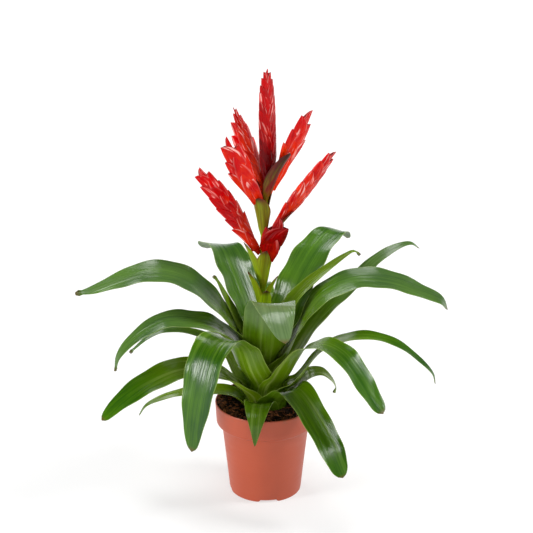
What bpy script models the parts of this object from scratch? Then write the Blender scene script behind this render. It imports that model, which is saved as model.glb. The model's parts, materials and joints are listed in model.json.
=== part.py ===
"""A flaming sword bromeliad growing in its plain plastic pot.

The pot stands on the ground plane with its axis on Z, and the side that is
mostly looked at faces -Y. Sizes below are in millimetres, and MM turns them
into the scene's metres.
"""

from collections import namedtuple
from math import cos, pi, radians, sin

import bmesh
import bpy
import numpy as np
from mathutils import Matrix, Vector

MM = 0.001
# Gap that pieces which touch keep to each other
CLEAR = 0.3
SHARP_ANGLE = radians(40.0)

UPRIGHT = np.array([0.0, 0.0, 1.0])

# Pot, from the rim down
RIM_RADIUS = 60.0
POT_HEIGHT = 115.0
BAND_FOOT_RADIUS = 58.6
BAND_FOOT_Z = 90.0
BODY_TOP_RADIUS = 52.0
BODY_TOP_Z = 84.5
FOOT_RADIUS = 43.0
FOOT_WIDTH = 4.5
POT_WALL = 1.8
FLOOR_Z = 4.0
LIP = 0.8
POT_SIDES = 40
NOTCH_COUNT = 4
NOTCH_WIDTH = 22.0
NOTCH_HEIGHT = 3.0
NOTCH_TURN = radians(5.0)
DRAIN_COUNT = 6
DRAIN_SIDES = 12
DRAIN_RADIUS = 4.5
DRAIN_CIRCLE = 25.0

# Soil, and the round pocket that the rosette stands in
SOIL_EDGE_Z = 112.0
SOIL_INNER_Z = 107.0
SOIL_HEAP = 4.5
SOIL_LUMP = 1.1
POCKET_FLOOR_Z = 88.0
SOIL_SIDES = 40
SOIL_RINGS = 6
# The heap is highest at this angle past +Y, in radians
HEAP_TURN = 0.3
# Each wave of lumps has its count round the pot, its twist per mm and its phase
LUMP_WAVES = ((5, 0.21, 0.0), (9, -0.33, 1.0))

# Rosette: every leaf's sheath stands a layer further out than the one before
SHEATH_INNER = 7.4
LAYER_PITCH = 1.25
LEAF_THICKNESS = 0.75
SHEATH_WIDTH = 30.0
SHEATH_SPAN = radians(126.0)
SHEATH_FREE_Z = 114.0
SHEATH_RISE = 2.6
# The sheath ends at least this far below the route's first point
FREE_DROP = 8.0
# A narrow leaf's root is this much wider than the leaf
ROOT_EXTRA = 6.0
# A free blade's radius across is at most this many times its width
CHANNEL = 1.15
# The blade reaches its full width this far past its sheath
WIDENING = 70.0
# The roll grows over these shares of the leaf, and the end tapers from here on
ROLL_START = 0.2
ROLL_END = 0.6
TAPER_START = 0.5
LEAF_ROWS = 11
LEAF_COLUMNS = 5
ROW_SPACING = 1.25

# Places read between two points of a route
CURVE_STEPS = 24

STEM_RADIUS = 6.0
STEM_TOP_Z = 104.0

# Flower stalk, from the short stem to the top spike
STALK_ROUTE = (
    (0, 0, 104.3),
    (-1, 0, 180),
    (-3, 0, 240),
    (-3, 0, 290),
    (-2, 0, 330),
    (0, 0, 362),
    (3.5, 0, 389),
)
STALK_RADIUS = 4.4
STALK_TOP_RADIUS = 2.6
STALK_SIDES = 10
STALK_ROWS = 10

# Spikes: two ranks of keeled bracts, each wrapping the thin axis
BRACT_STEP = 8.6
BRACT_LENGTH = 38.0
KEEL_REACH = 13.0
# How far past the axis a bract reaches to wrap it
BRACT_WRAP = 3.6
BRACT_HALF_THICKNESS = 6.6
BRACT_CORNERS = 6
# Places along a bract that have a section, as shares of its length, and how
# thick the bract is there, as shares of its full thickness
BRACT_STATIONS = np.array([0.0, 0.2, 0.55, 0.84])
BRACT_SWELL = np.array([0.3, 0.85, 1.0, 0.6])
# The keel leaves the axis at this share of its reach, and gets out by this
# share of the bract; the inner edge closes up to the keel with this power
KEEL_FOOT = 0.2
KEEL_RUN = 0.4
INNER_CLOSE = 2.4
INNER_POWER = 3.6
# Where a section's broad corners lie across it, and how thick it is there
OUTER_CORNER = 0.3
INNER_CORNER = 0.2
OUTER_THICKNESS = 0.8
# How much smaller the first and the last bracts of a spike are than the
# middle ones, and over which shares of the spike they shrink
FOOT_SHRINK = 0.18
FOOT_SHARE = 0.4
TOP_SHRINK = 0.34
TOP_SHARE = 0.45
LENGTH_SHRINK = 0.3
# Bracts crowd towards the top with this power, and their tips lean in there
CROWDING = 1.2
TIP_REACH = 1.04
TIP_LEAN = 0.5
SPIKE_AXIS_RADIUS = 1.5
SPIKE_AXIS_SIDES = 6
SPIKE_AXIS_ROWS = 4
SPIKE_AXIS_SHARE = 0.8

# azimuth in degrees from +X; width and tip in mm; taper grows for a blunter
# leaf; roll turns the upper face about the midrib, in degrees; route holds
# (reach, height) points of the midrib above the sheath
Leaf = namedtuple("Leaf", "name azimuth width tip taper roll drift route")

LEAVES = (
    Leaf("leaf_right_slip", 18, 20, 2, 1.6, 15, 0,
         ((13, 206), (32, 238), (50, 256), (74, 273), (95, 286), (109, 292), (117, 286))),
    Leaf("leaf_back_left_erect", 122, 50, 14, 3.0, 0, 0,
         ((16, 196), (40, 230), (63, 256), (87, 279), (113, 279), (136, 266))),
    Leaf("leaf_back_right_erect", 47, 45, 8, 2.6, 0, 0,
         ((21, 190), (39, 219), (57, 252), (84, 281), (113, 297), (134, 295), (147, 282))),
    Leaf("leaf_front_curl", 276, 46, 5, 2.0, 0, 8,
         ((26, 190), (45, 220), (59, 249), (77, 269), (104, 276), (127, 265), (141, 249))),
    Leaf("leaf_left_slip", 163, 14, 3, 1.6, -8, 0,
         ((20, 190), (31, 211), (40, 227), (50, 245), (58, 260), (64, 266))),
    Leaf("leaf_behind_upper", 93, 32, 5, 2.0, 0, 0,
         ((25, 185), (46, 216), (76, 231), (107, 223), (131, 199))),
    Leaf("leaf_right_high_arch", 2, 38, 6, 2.4, 18, 0,
         ((29, 181), (41, 212), (61, 243), (87, 261), (116, 269), (151, 264), (181, 252),
          (205, 241), (214, 228))),
    Leaf("leaf_left_high_arch", 190, 42, 6, 2.0, -20, 0,
         ((25, 186), (44, 222), (71, 258), (100, 280), (134, 287), (169, 279), (197, 270),
          (219, 266))),
    Leaf("leaf_right_back", 25, 26, 3, 1.8, 22, 0,
         ((40, 172), (62, 202), (88, 226), (116, 246), (142, 268), (168, 281), (192, 285),
          (206, 276))),
    Leaf("leaf_left_mid", 200, 32, 3, 2.0, -16, 0,
         ((30, 188), (61, 219), (92, 231), (118, 235), (142, 228), (164, 214), (178, 198),
          (182, 181))),
    Leaf("leaf_left_thin", 184, 16, 4, 1.6, -10, 0,
         ((34, 178), (78, 203), (115, 209), (137, 200), (151, 189), (159, 181))),
    Leaf("leaf_front_left_hanging", 233, 44, 8, 2.6, 0, 0,
         ((34, 165), (51, 201), (78, 221), (102, 214), (117, 190), (127, 160), (134, 130),
          (138, 103))),
    Leaf("leaf_front_right_arch", 322, 38, 8, 2.6, 0, 0,
         ((31, 154), (51, 190), (79, 208), (107, 206), (129, 190), (148, 168), (168, 147))),
    Leaf("leaf_right_thin", 350, 20, 3, 1.6, 12, 0,
         ((38, 142), (59, 175), (77, 193), (108, 206), (136, 206), (159, 198), (180, 183),
          (197, 166), (201, 152))),
    Leaf("leaf_behind_right", 80, 38, 5, 2.0, 0, 0,
         ((36, 147), (64, 176), (98, 183), (128, 166), (146, 139))),
    Leaf("leaf_behind_left", 124, 38, 5, 2.0, 0, 0,
         ((39, 136), (72, 162), (110, 166), (140, 148), (158, 122))),
    Leaf("leaf_left_low_broad", 203, 32, 8, 2.6, -22, 0,
         ((37, 140), (57, 157), (100, 174), (143, 165), (178, 147), (203, 127))),
    Leaf("leaf_right_low_curl", 2, 18, 2, 1.6, 10, 0,
         ((36, 132), (50, 147), (66, 151), (78, 142), (84, 131), (82, 123))),
    Leaf("leaf_front_right_hanging", 308, 34, 10, 3.0, 0, 0,
         ((38, 138), (52, 148), (74, 138), (98, 120), (121, 99), (143, 71))),
    Leaf("leaf_left_low_narrow", 186, 16, 2, 1.6, -12, 0,
         ((38, 123), (54, 129), (80, 131), (104, 129), (126, 123), (142, 115), (151, 102))),
    Leaf("leaf_front_small", 261, 24, 2, 1.4, 0, 0,
         ((38, 130), (50, 139), (62, 135), (69, 121), (73, 106), (77, 92))),
    Leaf("leaf_behind_low", 100, 26, 4, 1.8, 0, 0,
         ((42, 127), (78, 138), (112, 128), (136, 103))),
)

# foot is a height on the stalk. A spike runs along lean degrees from upright
# towards its azimuth, bare at first. Turn 0 shows its flat face to -Y, and 90
# its edge. bow bends it outwards at its middle
Spike = namedtuple("Spike", "name foot azimuth lean length bare turn size bow")

SPIKES = (
    Spike("spike_top", 390, 180, 1, 126, 2, 42, 1.02, 0),
    Spike("spike_upper_left", 380, 163, 21, 97, 6, 52, 0.72, 0),
    Spike("spike_upper_right", 374, -8, 24, 108, 16, 5, 0.88, 0),
    Spike("spike_front_left", 356, 220, 31, 98, 4, 0, 1.1, 0),
    Spike("spike_behind_left", 368, 138, 30, 87, 8, 10, 0.85, 0),
    Spike("spike_low_left", 300, 184, 34, 125, 8, 28, 1.05, -5),
    Spike("spike_low_right", 322, -4, 36, 126, 22, 50, 0.82, 0),
    Spike("spike_front_low", 297, 300, 34, 67, 4, 12, 1.28, 0),
)

# Sheathing bracts on the stalk: foot is a height on the stalk
StalkBract = namedtuple("StalkBract", "foot azimuth width length flare")

STALK_BRACTS = (
    StalkBract(205, 80, 18, 34, 9),
    StalkBract(226, 250, 19, 38, 9),
    StalkBract(238, 176, 18, 38, 15),
    StalkBract(243, 352, 17, 30, 12),
    StalkBract(256, 300, 20, 38, 14),
    StalkBract(260, 186, 18, 38, 18),
    StalkBract(306, -4, 15, 42, 30),
    StalkBract(314, 246, 24, 36, 12),
    StalkBract(362, 304, 9, 56, 32),
)
BRACT_TIP_WIDTH = 1.5
BRACT_THICKNESS = 0.8
BRACT_CHANNEL = 9.0
BRACT_SPAN = radians(150.0)
BRACT_OFFSET = 1.6
BRACT_OFFSET_SHARE = 0.33
FLARE_POWER = 1.5
TAPER_POWER = 2.2
BRACT_ROWS = 5
BRACT_COLUMNS = 4

# sRGB colours, roughness and metallic value of each finish
Finish = namedtuple("Finish", "colour roughness metallic")

FINISHES = {
    "pot": Finish((0.72, 0.36, 0.25), 0.5, 0.0),
    "soil": Finish((0.13, 0.08, 0.05), 0.95, 0.0),
    "leaf": Finish((0.17, 0.37, 0.06), 0.35, 0.0),
    "stalk": Finish((0.36, 0.45, 0.09), 0.45, 0.0),
    "stem": Finish((0.40, 0.42, 0.20), 0.7, 0.0),
    "bract": Finish((0.78, 0.04, 0.05), 0.35, 0.0),
}


def clear_scene():
    """Removes every object that the file opened with."""
    for item in list(bpy.data.objects):
        bpy.data.objects.remove(item, do_unlink=True)


def make_material(key):
    """Makes the Principled material of one finish, or returns it if it is there."""
    if key in bpy.data.materials:
        return bpy.data.materials[key]
    finish = FINISHES[key]
    material = bpy.data.materials.new(key)
    material.use_nodes = True
    shader = material.node_tree.nodes["Principled BSDF"]
    linear = [channel ** 2.2 for channel in finish.colour]
    shader.inputs["Base Color"].default_value = (*linear, 1.0)
    shader.inputs["Roughness"].default_value = finish.roughness
    shader.inputs["Metallic"].default_value = finish.metallic
    return material


def shade(mesh):
    """Shades a mesh smooth apart from its sharp edges."""
    mesh.shade_smooth()
    mesh.set_sharp_from_angle(angle=SHARP_ANGLE)


def add_object(name, mesh, finish):
    """Links a mesh as an object of the scene and gives it its finish."""
    item = bpy.data.objects.new(name, mesh)
    bpy.context.collection.objects.link(item)
    shade(mesh)
    mesh.materials.append(make_material(finish))
    return item


def mesh_from(name, points, faces):
    """Makes a mesh from points in millimetres and faces that already point outwards."""
    mesh = bpy.data.meshes.new(name)
    mesh.from_pydata([tuple(point) for point in np.asarray(points) * MM], [], faces)
    mesh.update()
    return mesh


def turned_mesh(name, profile, sides):
    """Spins a (radius, height) profile, which starts and ends on the axis, round Z."""
    shape = bmesh.new()
    points = [shape.verts.new((radius * MM, 0.0, height * MM)) for radius, height in profile]
    edges = [shape.edges.new(pair) for pair in zip(points, points[1:])]
    bmesh.ops.spin(
        shape,
        geom=points + edges,
        cent=(0, 0, 0),
        axis=(0, 0, 1),
        angle=2 * pi,
        steps=sides,
        use_merge=True,
    )
    bmesh.ops.remove_doubles(shape, verts=shape.verts, dist=0.00001)
    bmesh.ops.recalc_face_normals(shape, faces=shape.faces)
    mesh = bpy.data.meshes.new(name)
    shape.to_mesh(mesh)
    shape.free()
    return mesh


def apply_boolean(item, operation, others):
    """Applies one Boolean with a collection of objects, then removes that collection."""
    boolean = item.modifiers.new(operation.lower(), "BOOLEAN")
    boolean.operation = operation
    boolean.solver = "EXACT"
    boolean.operand_type = "COLLECTION"
    boolean.collection = others
    graph = bpy.context.evaluated_depsgraph_get()
    mesh = bpy.data.meshes.new_from_object(item.evaluated_get(graph))
    item.modifiers.clear()
    item.data = mesh
    for other in list(others.objects):
        bpy.data.objects.remove(other, do_unlink=True)
    bpy.data.collections.remove(others)
    shade(item.data)


def fuse(name, finish, body_mesh, repeat_meshes):
    """Joins a body and its repeats into one closed solid by one Boolean union."""
    item = add_object(name, body_mesh, finish)
    repeats = bpy.data.collections.new(name + "_repeats")
    bpy.context.scene.collection.children.link(repeats)
    for index, mesh in enumerate(repeat_meshes):
        mesh.materials.append(make_material(finish))
        repeats.objects.link(bpy.data.objects.new(f"{name}_repeat_{index}", mesh))
    apply_boolean(item, "UNION", repeats)
    return item


def wall_inside(offset):
    """Gives the pot's inner wall from the rim down, moved inwards by offset."""
    return (
        (RIM_RADIUS - POT_WALL - offset, POT_HEIGHT - LIP),
        (BAND_FOOT_RADIUS - POT_WALL - offset, BAND_FOOT_Z + POT_WALL),
        (BODY_TOP_RADIUS - POT_WALL - offset, BODY_TOP_Z + POT_WALL / 2),
        (FOOT_RADIUS - POT_WALL - offset, FLOOR_Z + POT_WALL + offset),
    )


def build_pot():
    """Turns the thin pot and cuts its drain holes and the notches in its foot ring."""
    lip_radius = RIM_RADIUS - POT_WALL
    profile = [
        (0, FLOOR_Z),
        (FOOT_RADIUS - FOOT_WIDTH - 1, FLOOR_Z),
        (FOOT_RADIUS - FOOT_WIDTH, 0),
        (FOOT_RADIUS - LIP, 0),
        (FOOT_RADIUS, LIP),
        (FOOT_RADIUS + LIP / 2, FLOOR_Z),
        (BODY_TOP_RADIUS, BODY_TOP_Z),
        (BAND_FOOT_RADIUS - LIP / 2, BAND_FOOT_Z - LIP / 2),
        (BAND_FOOT_RADIUS, BAND_FOOT_Z + LIP / 2),
        (RIM_RADIUS, POT_HEIGHT - LIP / 2),
        (RIM_RADIUS - LIP / 2, POT_HEIGHT),
        (lip_radius + LIP / 4, POT_HEIGHT),
    ]
    profile += wall_inside(0.0)
    profile.append((0, FLOOR_Z + POT_WALL))
    pot = add_object("pot", turned_mesh("pot", profile, POT_SIDES), "pot")

    cutters = bpy.data.collections.new("pot_cutters")
    bpy.context.scene.collection.children.link(cutters)
    for index in range(DRAIN_COUNT):
        angle = 2 * pi * (index + 0.5) / DRAIN_COUNT
        cutters.objects.link(cutter_object(f"drain_cutter_{index}", drain_shape(angle)))
    for index in range(NOTCH_COUNT):
        angle = NOTCH_TURN + 2 * pi * index / NOTCH_COUNT
        cutters.objects.link(cutter_object(f"notch_cutter_{index}", notch_shape(angle)))
    apply_boolean(pot, "DIFFERENCE", cutters)


def cutter_object(name, shape):
    """Makes an object that only cuts, and so is never rendered."""
    mesh = bpy.data.meshes.new(name)
    shape.to_mesh(mesh)
    shape.free()
    cutter = bpy.data.objects.new(name, mesh)
    cutter.hide_render = True
    cutter.display_type = "WIRE"
    return cutter


def drain_shape(angle):
    """Makes one round bar that goes through the pot's floor."""
    shape = bmesh.new()
    middle = Vector((DRAIN_CIRCLE * cos(angle), DRAIN_CIRCLE * sin(angle), FLOOR_Z + 1))
    bmesh.ops.create_cone(
        shape,
        cap_ends=True,
        segments=DRAIN_SIDES,
        radius1=DRAIN_RADIUS * MM,
        radius2=DRAIN_RADIUS * MM,
        depth=4 * POT_WALL * MM,
        matrix=Matrix.Translation(middle * MM),
    )
    return shape


def notch_shape(angle):
    """Makes one box that opens a notch in the foot ring."""
    shape = bmesh.new()
    turn = Matrix.Rotation(angle, 4, "Z")
    shift = Matrix.Translation((FOOT_RADIUS * MM, 0, 0))
    size = Matrix.Diagonal((4 * FOOT_WIDTH * MM, NOTCH_WIDTH * MM, 2 * NOTCH_HEIGHT * MM, 1))
    bmesh.ops.create_cube(shape, size=1.0, matrix=turn @ shift @ size)
    return shape


def pocket_radius():
    """Gives the radius of the soil's pocket, just outside the outermost sheath."""
    outermost = SHEATH_INNER + LAYER_PITCH * (len(LEAVES) - 1)
    return outermost + LEAF_THICKNESS / 2 + CLEAR


def soil_height(radius, angle):
    """Gives the soil's height: low at the front, heaped at the sides and behind, and lumpy."""
    inner = pocket_radius()
    outer = RIM_RADIUS - POT_WALL - CLEAR
    share = (radius - inner) / (outer - inner)
    heap = SOIL_HEAP * (1 + sin(angle - HEAP_TURN)) / 2 * sin(pi * share)
    lumps = sum(sin(count * angle + twist * radius + phase) for count, twist, phase in LUMP_WAVES)
    slope = SOIL_INNER_Z + (SOIL_EDGE_Z - SOIL_INNER_Z) * share
    return slope + heap + SOIL_LUMP * lumps * sin(pi * share)


def build_soil():
    """Turns the soil with its round pocket, then shapes its lumpy top."""
    inner = pocket_radius()
    outer = RIM_RADIUS - POT_WALL - CLEAR
    rings = np.linspace(inner, outer, SOIL_RINGS)
    profile = [(0, POCKET_FLOOR_Z), (inner, POCKET_FLOOR_Z)]
    profile += [(radius, SOIL_EDGE_Z) for radius in rings]
    profile += wall_inside(CLEAR)[1:]
    profile.append((0, FLOOR_Z + POT_WALL + CLEAR))
    mesh = turned_mesh("soil", profile, SOIL_SIDES)
    for vertex in mesh.vertices:
        if abs(vertex.co.z / MM - SOIL_EDGE_Z) < CLEAR:
            radius = vertex.co.xy.length / MM
            angle = np.arctan2(vertex.co.y, vertex.co.x)
            vertex.co.z = soil_height(radius, angle) * MM
    add_object("soil", mesh, "soil")


def build_short_stem():
    """Makes the short stem in the rosette's middle, with eased ends."""
    foot = POCKET_FLOOR_Z + CLEAR
    profile = (
        (0, foot),
        (STEM_RADIUS - LIP, foot),
        (STEM_RADIUS, foot + LIP),
        (STEM_RADIUS, STEM_TOP_Z - LIP),
        (STEM_RADIUS - LIP, STEM_TOP_Z),
        (0, STEM_TOP_Z),
    )
    add_object("short_stem", turned_mesh("short_stem", profile, STALK_SIDES), "stem")


def smooth_route(points, rows, spacing):
    """Runs a Catmull-Rom curve through points and reads it at rows + 1 places.

    spacing above 1 sets the places closer together near the start.
    """
    route = np.asarray(points, dtype=float)
    padded = np.vstack([2 * route[0] - route[1], route, 2 * route[-1] - route[-2]])
    steps = np.linspace(0.0, 1.0, CURVE_STEPS, endpoint=False)[:, None]
    dense = []
    for before, start, end, after in zip(padded, padded[1:], padded[2:], padded[3:]):
        dense.append(
            0.5
            * (
                2 * start
                + (end - before) * steps
                + (2 * before - 5 * start + 4 * end - after) * steps ** 2
                + (3 * start - before - 3 * end + after) * steps ** 3
            )
        )
    dense = np.vstack(dense + [route[-1:]])
    lengths = np.concatenate([[0.0], np.cumsum(np.linalg.norm(np.diff(dense, axis=0), axis=1))])
    wanted = lengths[-1] * np.linspace(0.0, 1.0, rows + 1) ** spacing
    return np.stack([np.interp(wanted, lengths, axis) for axis in dense.T], axis=1)


def blade_mesh(name, middles, sides, normals, half_widths, radii, thickness, columns):
    """Makes a closed blade that is bent across into a channel.

    Each row is an arc of the given radius about a centre on the normal's side.
    Both faces are split into triangles alike.
    """
    rows = len(middles)
    places = np.linspace(-1.0, 1.0, columns + 1)
    angles = places[None, :] * (half_widths / radii)[:, None]
    across = sides[:, None, :] * np.sin(angles)[..., None]
    rise = normals[:, None, :] * (1.0 - np.cos(angles))[..., None]
    middle = middles[:, None, :] + (across + rise) * radii[:, None, None]
    facing = normals[:, None, :] * np.cos(angles)[..., None]
    facing = facing - sides[:, None, :] * np.sin(angles)[..., None]
    upper = (middle + facing * thickness / 2).reshape(-1, 3)
    lower = (middle - facing * thickness / 2).reshape(-1, 3)
    count = len(upper)
    width = columns + 1
    faces = []
    for row in range(rows - 1):
        for column in range(columns):
            near = row * width + column
            far = near + width
            faces.append((near, far + 1, near + 1))
            faces.append((near, far, far + 1))
            faces.append((count + near, count + near + 1, count + far + 1))
            faces.append((count + near, count + far + 1, count + far))
        left = row * width
        right = left + columns
        faces.append((left, count + left + width, left + width))
        faces.append((left, count + left, count + left + width))
        faces.append((right, right + width, count + right + width))
        faces.append((right, count + right + width, count + right))
    last = (rows - 1) * width
    for column in range(columns):
        faces.append((column, count + column + 1, count + column))
        faces.append((column, column + 1, count + column + 1))
        end = last + column
        faces.append((end, count + end, count + end + 1))
        faces.append((end, count + end + 1, end + 1))
    return mesh_from(name, np.vstack([upper, lower]), faces)


def ease(value):
    """Goes from 0 to 1 with level ends as value goes from 0 to 1."""
    held = np.clip(value, 0.0, 1.0)
    return held * held * (3.0 - 2.0 * held)


def leaf_mesh(leaf, layer):
    """Makes one strap leaf, upright in its sheath and then bent out along its route."""
    sheath = SHEATH_INNER + LAYER_PITCH * layer
    free_z = SHEATH_FREE_Z + SHEATH_RISE * (len(LEAVES) - 1 - layer)
    free_z = min(free_z, leaf.route[0][1] - FREE_DROP)
    foot = POCKET_FLOOR_Z + CLEAR
    route = [(sheath, foot), (sheath, free_z)] + list(leaf.route)
    flat = smooth_route(route, LEAF_ROWS, ROW_SPACING)
    share = np.linspace(0.0, 1.0, LEAF_ROWS + 1) ** ROW_SPACING
    steps = np.linalg.norm(np.diff(flat, axis=0), axis=1)
    lengths = np.concatenate([[0.0], np.cumsum(steps)])
    reach = np.where(lengths < free_z - foot, sheath, flat[:, 0])
    angle = radians(leaf.azimuth)
    outward = np.array([cos(angle), sin(angle), 0.0])
    aside = np.array([-sin(angle), cos(angle), 0.0])
    middles = reach[:, None] * outward + flat[:, 1:2] * UPRIGHT
    middles = middles + (leaf.drift * share ** 2)[:, None] * aside

    slope = np.gradient(np.stack([reach, flat[:, 1]], axis=1), axis=0)
    slope[0] = (0.0, 1.0)
    slope /= np.linalg.norm(slope, axis=1)[:, None]
    normals = -slope[:, 1:2] * outward + slope[:, 0:1] * UPRIGHT
    sides = np.repeat(aside[None, :], len(reach), axis=0)
    roll = radians(leaf.roll) * ease((share - ROLL_START) / (ROLL_END - ROLL_START))
    rolled_sides = sides * np.cos(roll)[:, None] + normals * np.sin(roll)[:, None]
    rolled_normals = normals * np.cos(roll)[:, None] - sides * np.sin(roll)[:, None]

    radii = np.clip(reach, sheath, max(sheath, CHANNEL * leaf.width))
    spread = ease(lengths / (free_z - foot + WIDENING))
    root_width = min(SHEATH_WIDTH, leaf.width + ROOT_EXTRA)
    body = root_width + (leaf.width - root_width) * spread
    ending = np.clip((share - TAPER_START) / (1.0 - TAPER_START), 0.0, 1.0) ** leaf.taper
    widths = leaf.tip + (body - leaf.tip) * (1.0 - ending)
    widths = np.minimum(widths, SHEATH_SPAN * radii)
    return blade_mesh(
        leaf.name,
        middles,
        rolled_sides,
        rolled_normals,
        widths / 2,
        radii,
        LEAF_THICKNESS,
        LEAF_COLUMNS,
    )


def stalk_point(height):
    """Gives the stalk's middle at a height."""
    route = np.asarray(STALK_ROUTE, dtype=float)
    return np.array([np.interp(height, route[:, 2], route[:, axis]) for axis in range(3)])


def stalk_radius(height):
    """Gives the stalk's radius at a height."""
    low = STALK_ROUTE[0][2]
    high = STALK_ROUTE[-1][2]
    share = np.clip((height - low) / (high - low), 0.0, 1.0)
    return STALK_RADIUS + (STALK_TOP_RADIUS - STALK_RADIUS) * share


def tube_mesh(name, middles, radii, sides):
    """Makes a closed tube of round sections that stay level."""
    turns = 2 * pi * np.arange(sides) / sides
    ring = np.stack([np.cos(turns), np.sin(turns), 0 * turns], axis=1)
    points = (middles[:, None, :] + ring[None] * radii[:, None, None]).reshape(-1, 3)
    faces = [tuple(reversed(range(sides)))]
    for row in range(len(middles) - 1):
        for side in range(sides):
            near = row * sides + side
            turn = row * sides + (side + 1) % sides
            faces.append((near, turn, turn + sides, near + sides))
    last = (len(middles) - 1) * sides
    faces.append(tuple(last + side for side in range(sides)))
    return mesh_from(name, points, faces)


def stalk_bract_mesh(index, bract):
    """Makes one pointed bract that wraps the stalk and flares at its tip."""
    share = np.linspace(0.0, 1.0, BRACT_ROWS)
    heights = bract.foot + bract.length * share
    start = stalk_radius(bract.foot) - BRACT_THICKNESS
    reach = start + BRACT_OFFSET * ease(share / BRACT_OFFSET_SHARE)
    reach = reach + bract.flare * share ** FLARE_POWER
    angle = radians(bract.azimuth)
    outward = np.array([cos(angle), sin(angle), 0.0])
    aside = np.array([-sin(angle), cos(angle), 0.0])
    middles = stalk_point(bract.foot) * (1, 1, 0) + reach[:, None] * outward
    middles = middles + heights[:, None] * UPRIGHT
    slope = np.gradient(np.stack([reach, heights], axis=1), axis=0)
    slope /= np.linalg.norm(slope, axis=1)[:, None]
    normals = -slope[:, 1:2] * outward + slope[:, 0:1] * UPRIGHT
    sides = np.repeat(aside[None, :], BRACT_ROWS, axis=0)
    radii = np.clip(reach, start, BRACT_CHANNEL)
    widths = BRACT_TIP_WIDTH + (bract.width - BRACT_TIP_WIDTH) * (1.0 - share ** TAPER_POWER)
    widths = np.minimum(widths, BRACT_SPAN * radii)
    return blade_mesh(
        f"stalk_bract_{index}",
        middles,
        sides,
        normals,
        widths / 2,
        radii,
        BRACT_THICKNESS,
        BRACT_COLUMNS,
    )


def build_stalk():
    """Makes the upright stalk and joins its sheathing bracts to it."""
    middles = smooth_route(STALK_ROUTE, STALK_ROWS, 1.0)
    radii = stalk_radius(middles[:, 2])
    body = tube_mesh("flower_stalk", middles, radii, STALK_SIDES)
    bracts = [stalk_bract_mesh(index, bract) for index, bract in enumerate(STALK_BRACTS)]
    fuse("flower_stalk", "stalk", body, bracts)


def spike_base(spike):
    """Gives the middle of the spike's foot, a small gap clear of the stalk."""
    middle = stalk_point(spike.foot)
    if spike.foot > STALK_ROUTE[-1][2]:
        return middle * (1, 1, 0) + spike.foot * UPRIGHT
    reach = stalk_radius(spike.foot) + SPIKE_AXIS_RADIUS + CLEAR
    angle = radians(spike.azimuth)
    return middle + reach * np.array([cos(angle), sin(angle), 0.0])


def spike_frame(spike):
    """Gives the spike's rank, face and length directions as unit vectors."""
    lean = radians(spike.lean)
    angle = radians(spike.azimuth)
    along = Vector((sin(lean) * cos(angle), sin(lean) * sin(angle), cos(lean)))
    across = Vector((1.0, 0.0, 0.0))
    across = (across - across.dot(along) * along).normalized()
    across.rotate(Matrix.Rotation(radians(spike.turn), 3, along))
    face = along.cross(across)
    return np.array(across), np.array(face), np.array(along)


def place_on_spike(spike, local):
    """Moves points from the spike's own axes to the plant, with the spike's bow."""
    across, face, along = spike_frame(spike)
    outward = np.array([cos(radians(spike.azimuth)), sin(radians(spike.azimuth)), 0.0])
    share = np.clip(local[:, 2:3] / spike.length, 0.0, 1.0)
    bowed = spike.bow * 4 * share * (1 - share)
    placed = local[:, 0:1] * across + local[:, 1:2] * face + local[:, 2:3] * along
    return spike_base(spike) + placed + bowed * outward


def spike_bract_mesh(spike, index, count):
    """Makes one keeled bract: sections across it swell from the axis and close at the tip."""
    side = 1 if index % 2 else -1
    share = index / (count - 1)
    size = spike.size * (1.0 - FOOT_SHRINK * (1.0 - ease(share / FOOT_SHARE)))
    size = size * (1.0 - TOP_SHRINK * (1.0 - ease((1.0 - share) / TOP_SHARE)))
    length = BRACT_LENGTH * (1.0 - LENGTH_SHRINK * share)
    climb = 1.0 - (1.0 - share) ** CROWDING
    start = spike.bare + (spike.length - spike.bare - length) * climb
    along = BRACT_STATIONS
    keel = KEEL_REACH * size * (KEEL_FOOT + (1.0 - KEEL_FOOT) * ease(along / KEEL_RUN))
    inner = -BRACT_WRAP * size + (keel + INNER_CLOSE * size) * along ** INNER_POWER
    half = BRACT_HALF_THICKNESS * size * BRACT_SWELL
    width = keel - inner
    ring = []
    for row, station in enumerate(along):
        height = start + length * station
        outer_x = side * (keel[row] - OUTER_CORNER * width[row])
        inner_x = side * (inner[row] + INNER_CORNER * width[row])
        outer_y = half[row] * OUTER_THICKNESS
        ring += [
            (side * keel[row], 0.0, height),
            (outer_x, outer_y, height),
            (inner_x, half[row], height),
            (side * inner[row], 0.0, height),
            (inner_x, -half[row], height),
            (outer_x, -outer_y, height),
        ]
    tip = KEEL_REACH * size * (TIP_REACH - TIP_LEAN * share ** 4)
    ring.append((side * tip, 0.0, start + length))
    faces = []
    for row in range(len(along) - 1):
        for corner in range(BRACT_CORNERS):
            near = row * BRACT_CORNERS + corner
            turn = row * BRACT_CORNERS + (corner + 1) % BRACT_CORNERS
            faces.append((near, turn, turn + BRACT_CORNERS, near + BRACT_CORNERS))
    last = (len(along) - 1) * BRACT_CORNERS
    for corner in range(BRACT_CORNERS):
        faces.append((last + corner, last + (corner + 1) % BRACT_CORNERS, len(ring) - 1))
    faces.append(tuple(reversed(range(BRACT_CORNERS))))
    if side < 0:
        faces = [tuple(reversed(face)) for face in faces]
    points = place_on_spike(spike, np.array(ring))
    return mesh_from(f"{spike.name}_bract_{index}", points, faces)


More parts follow.
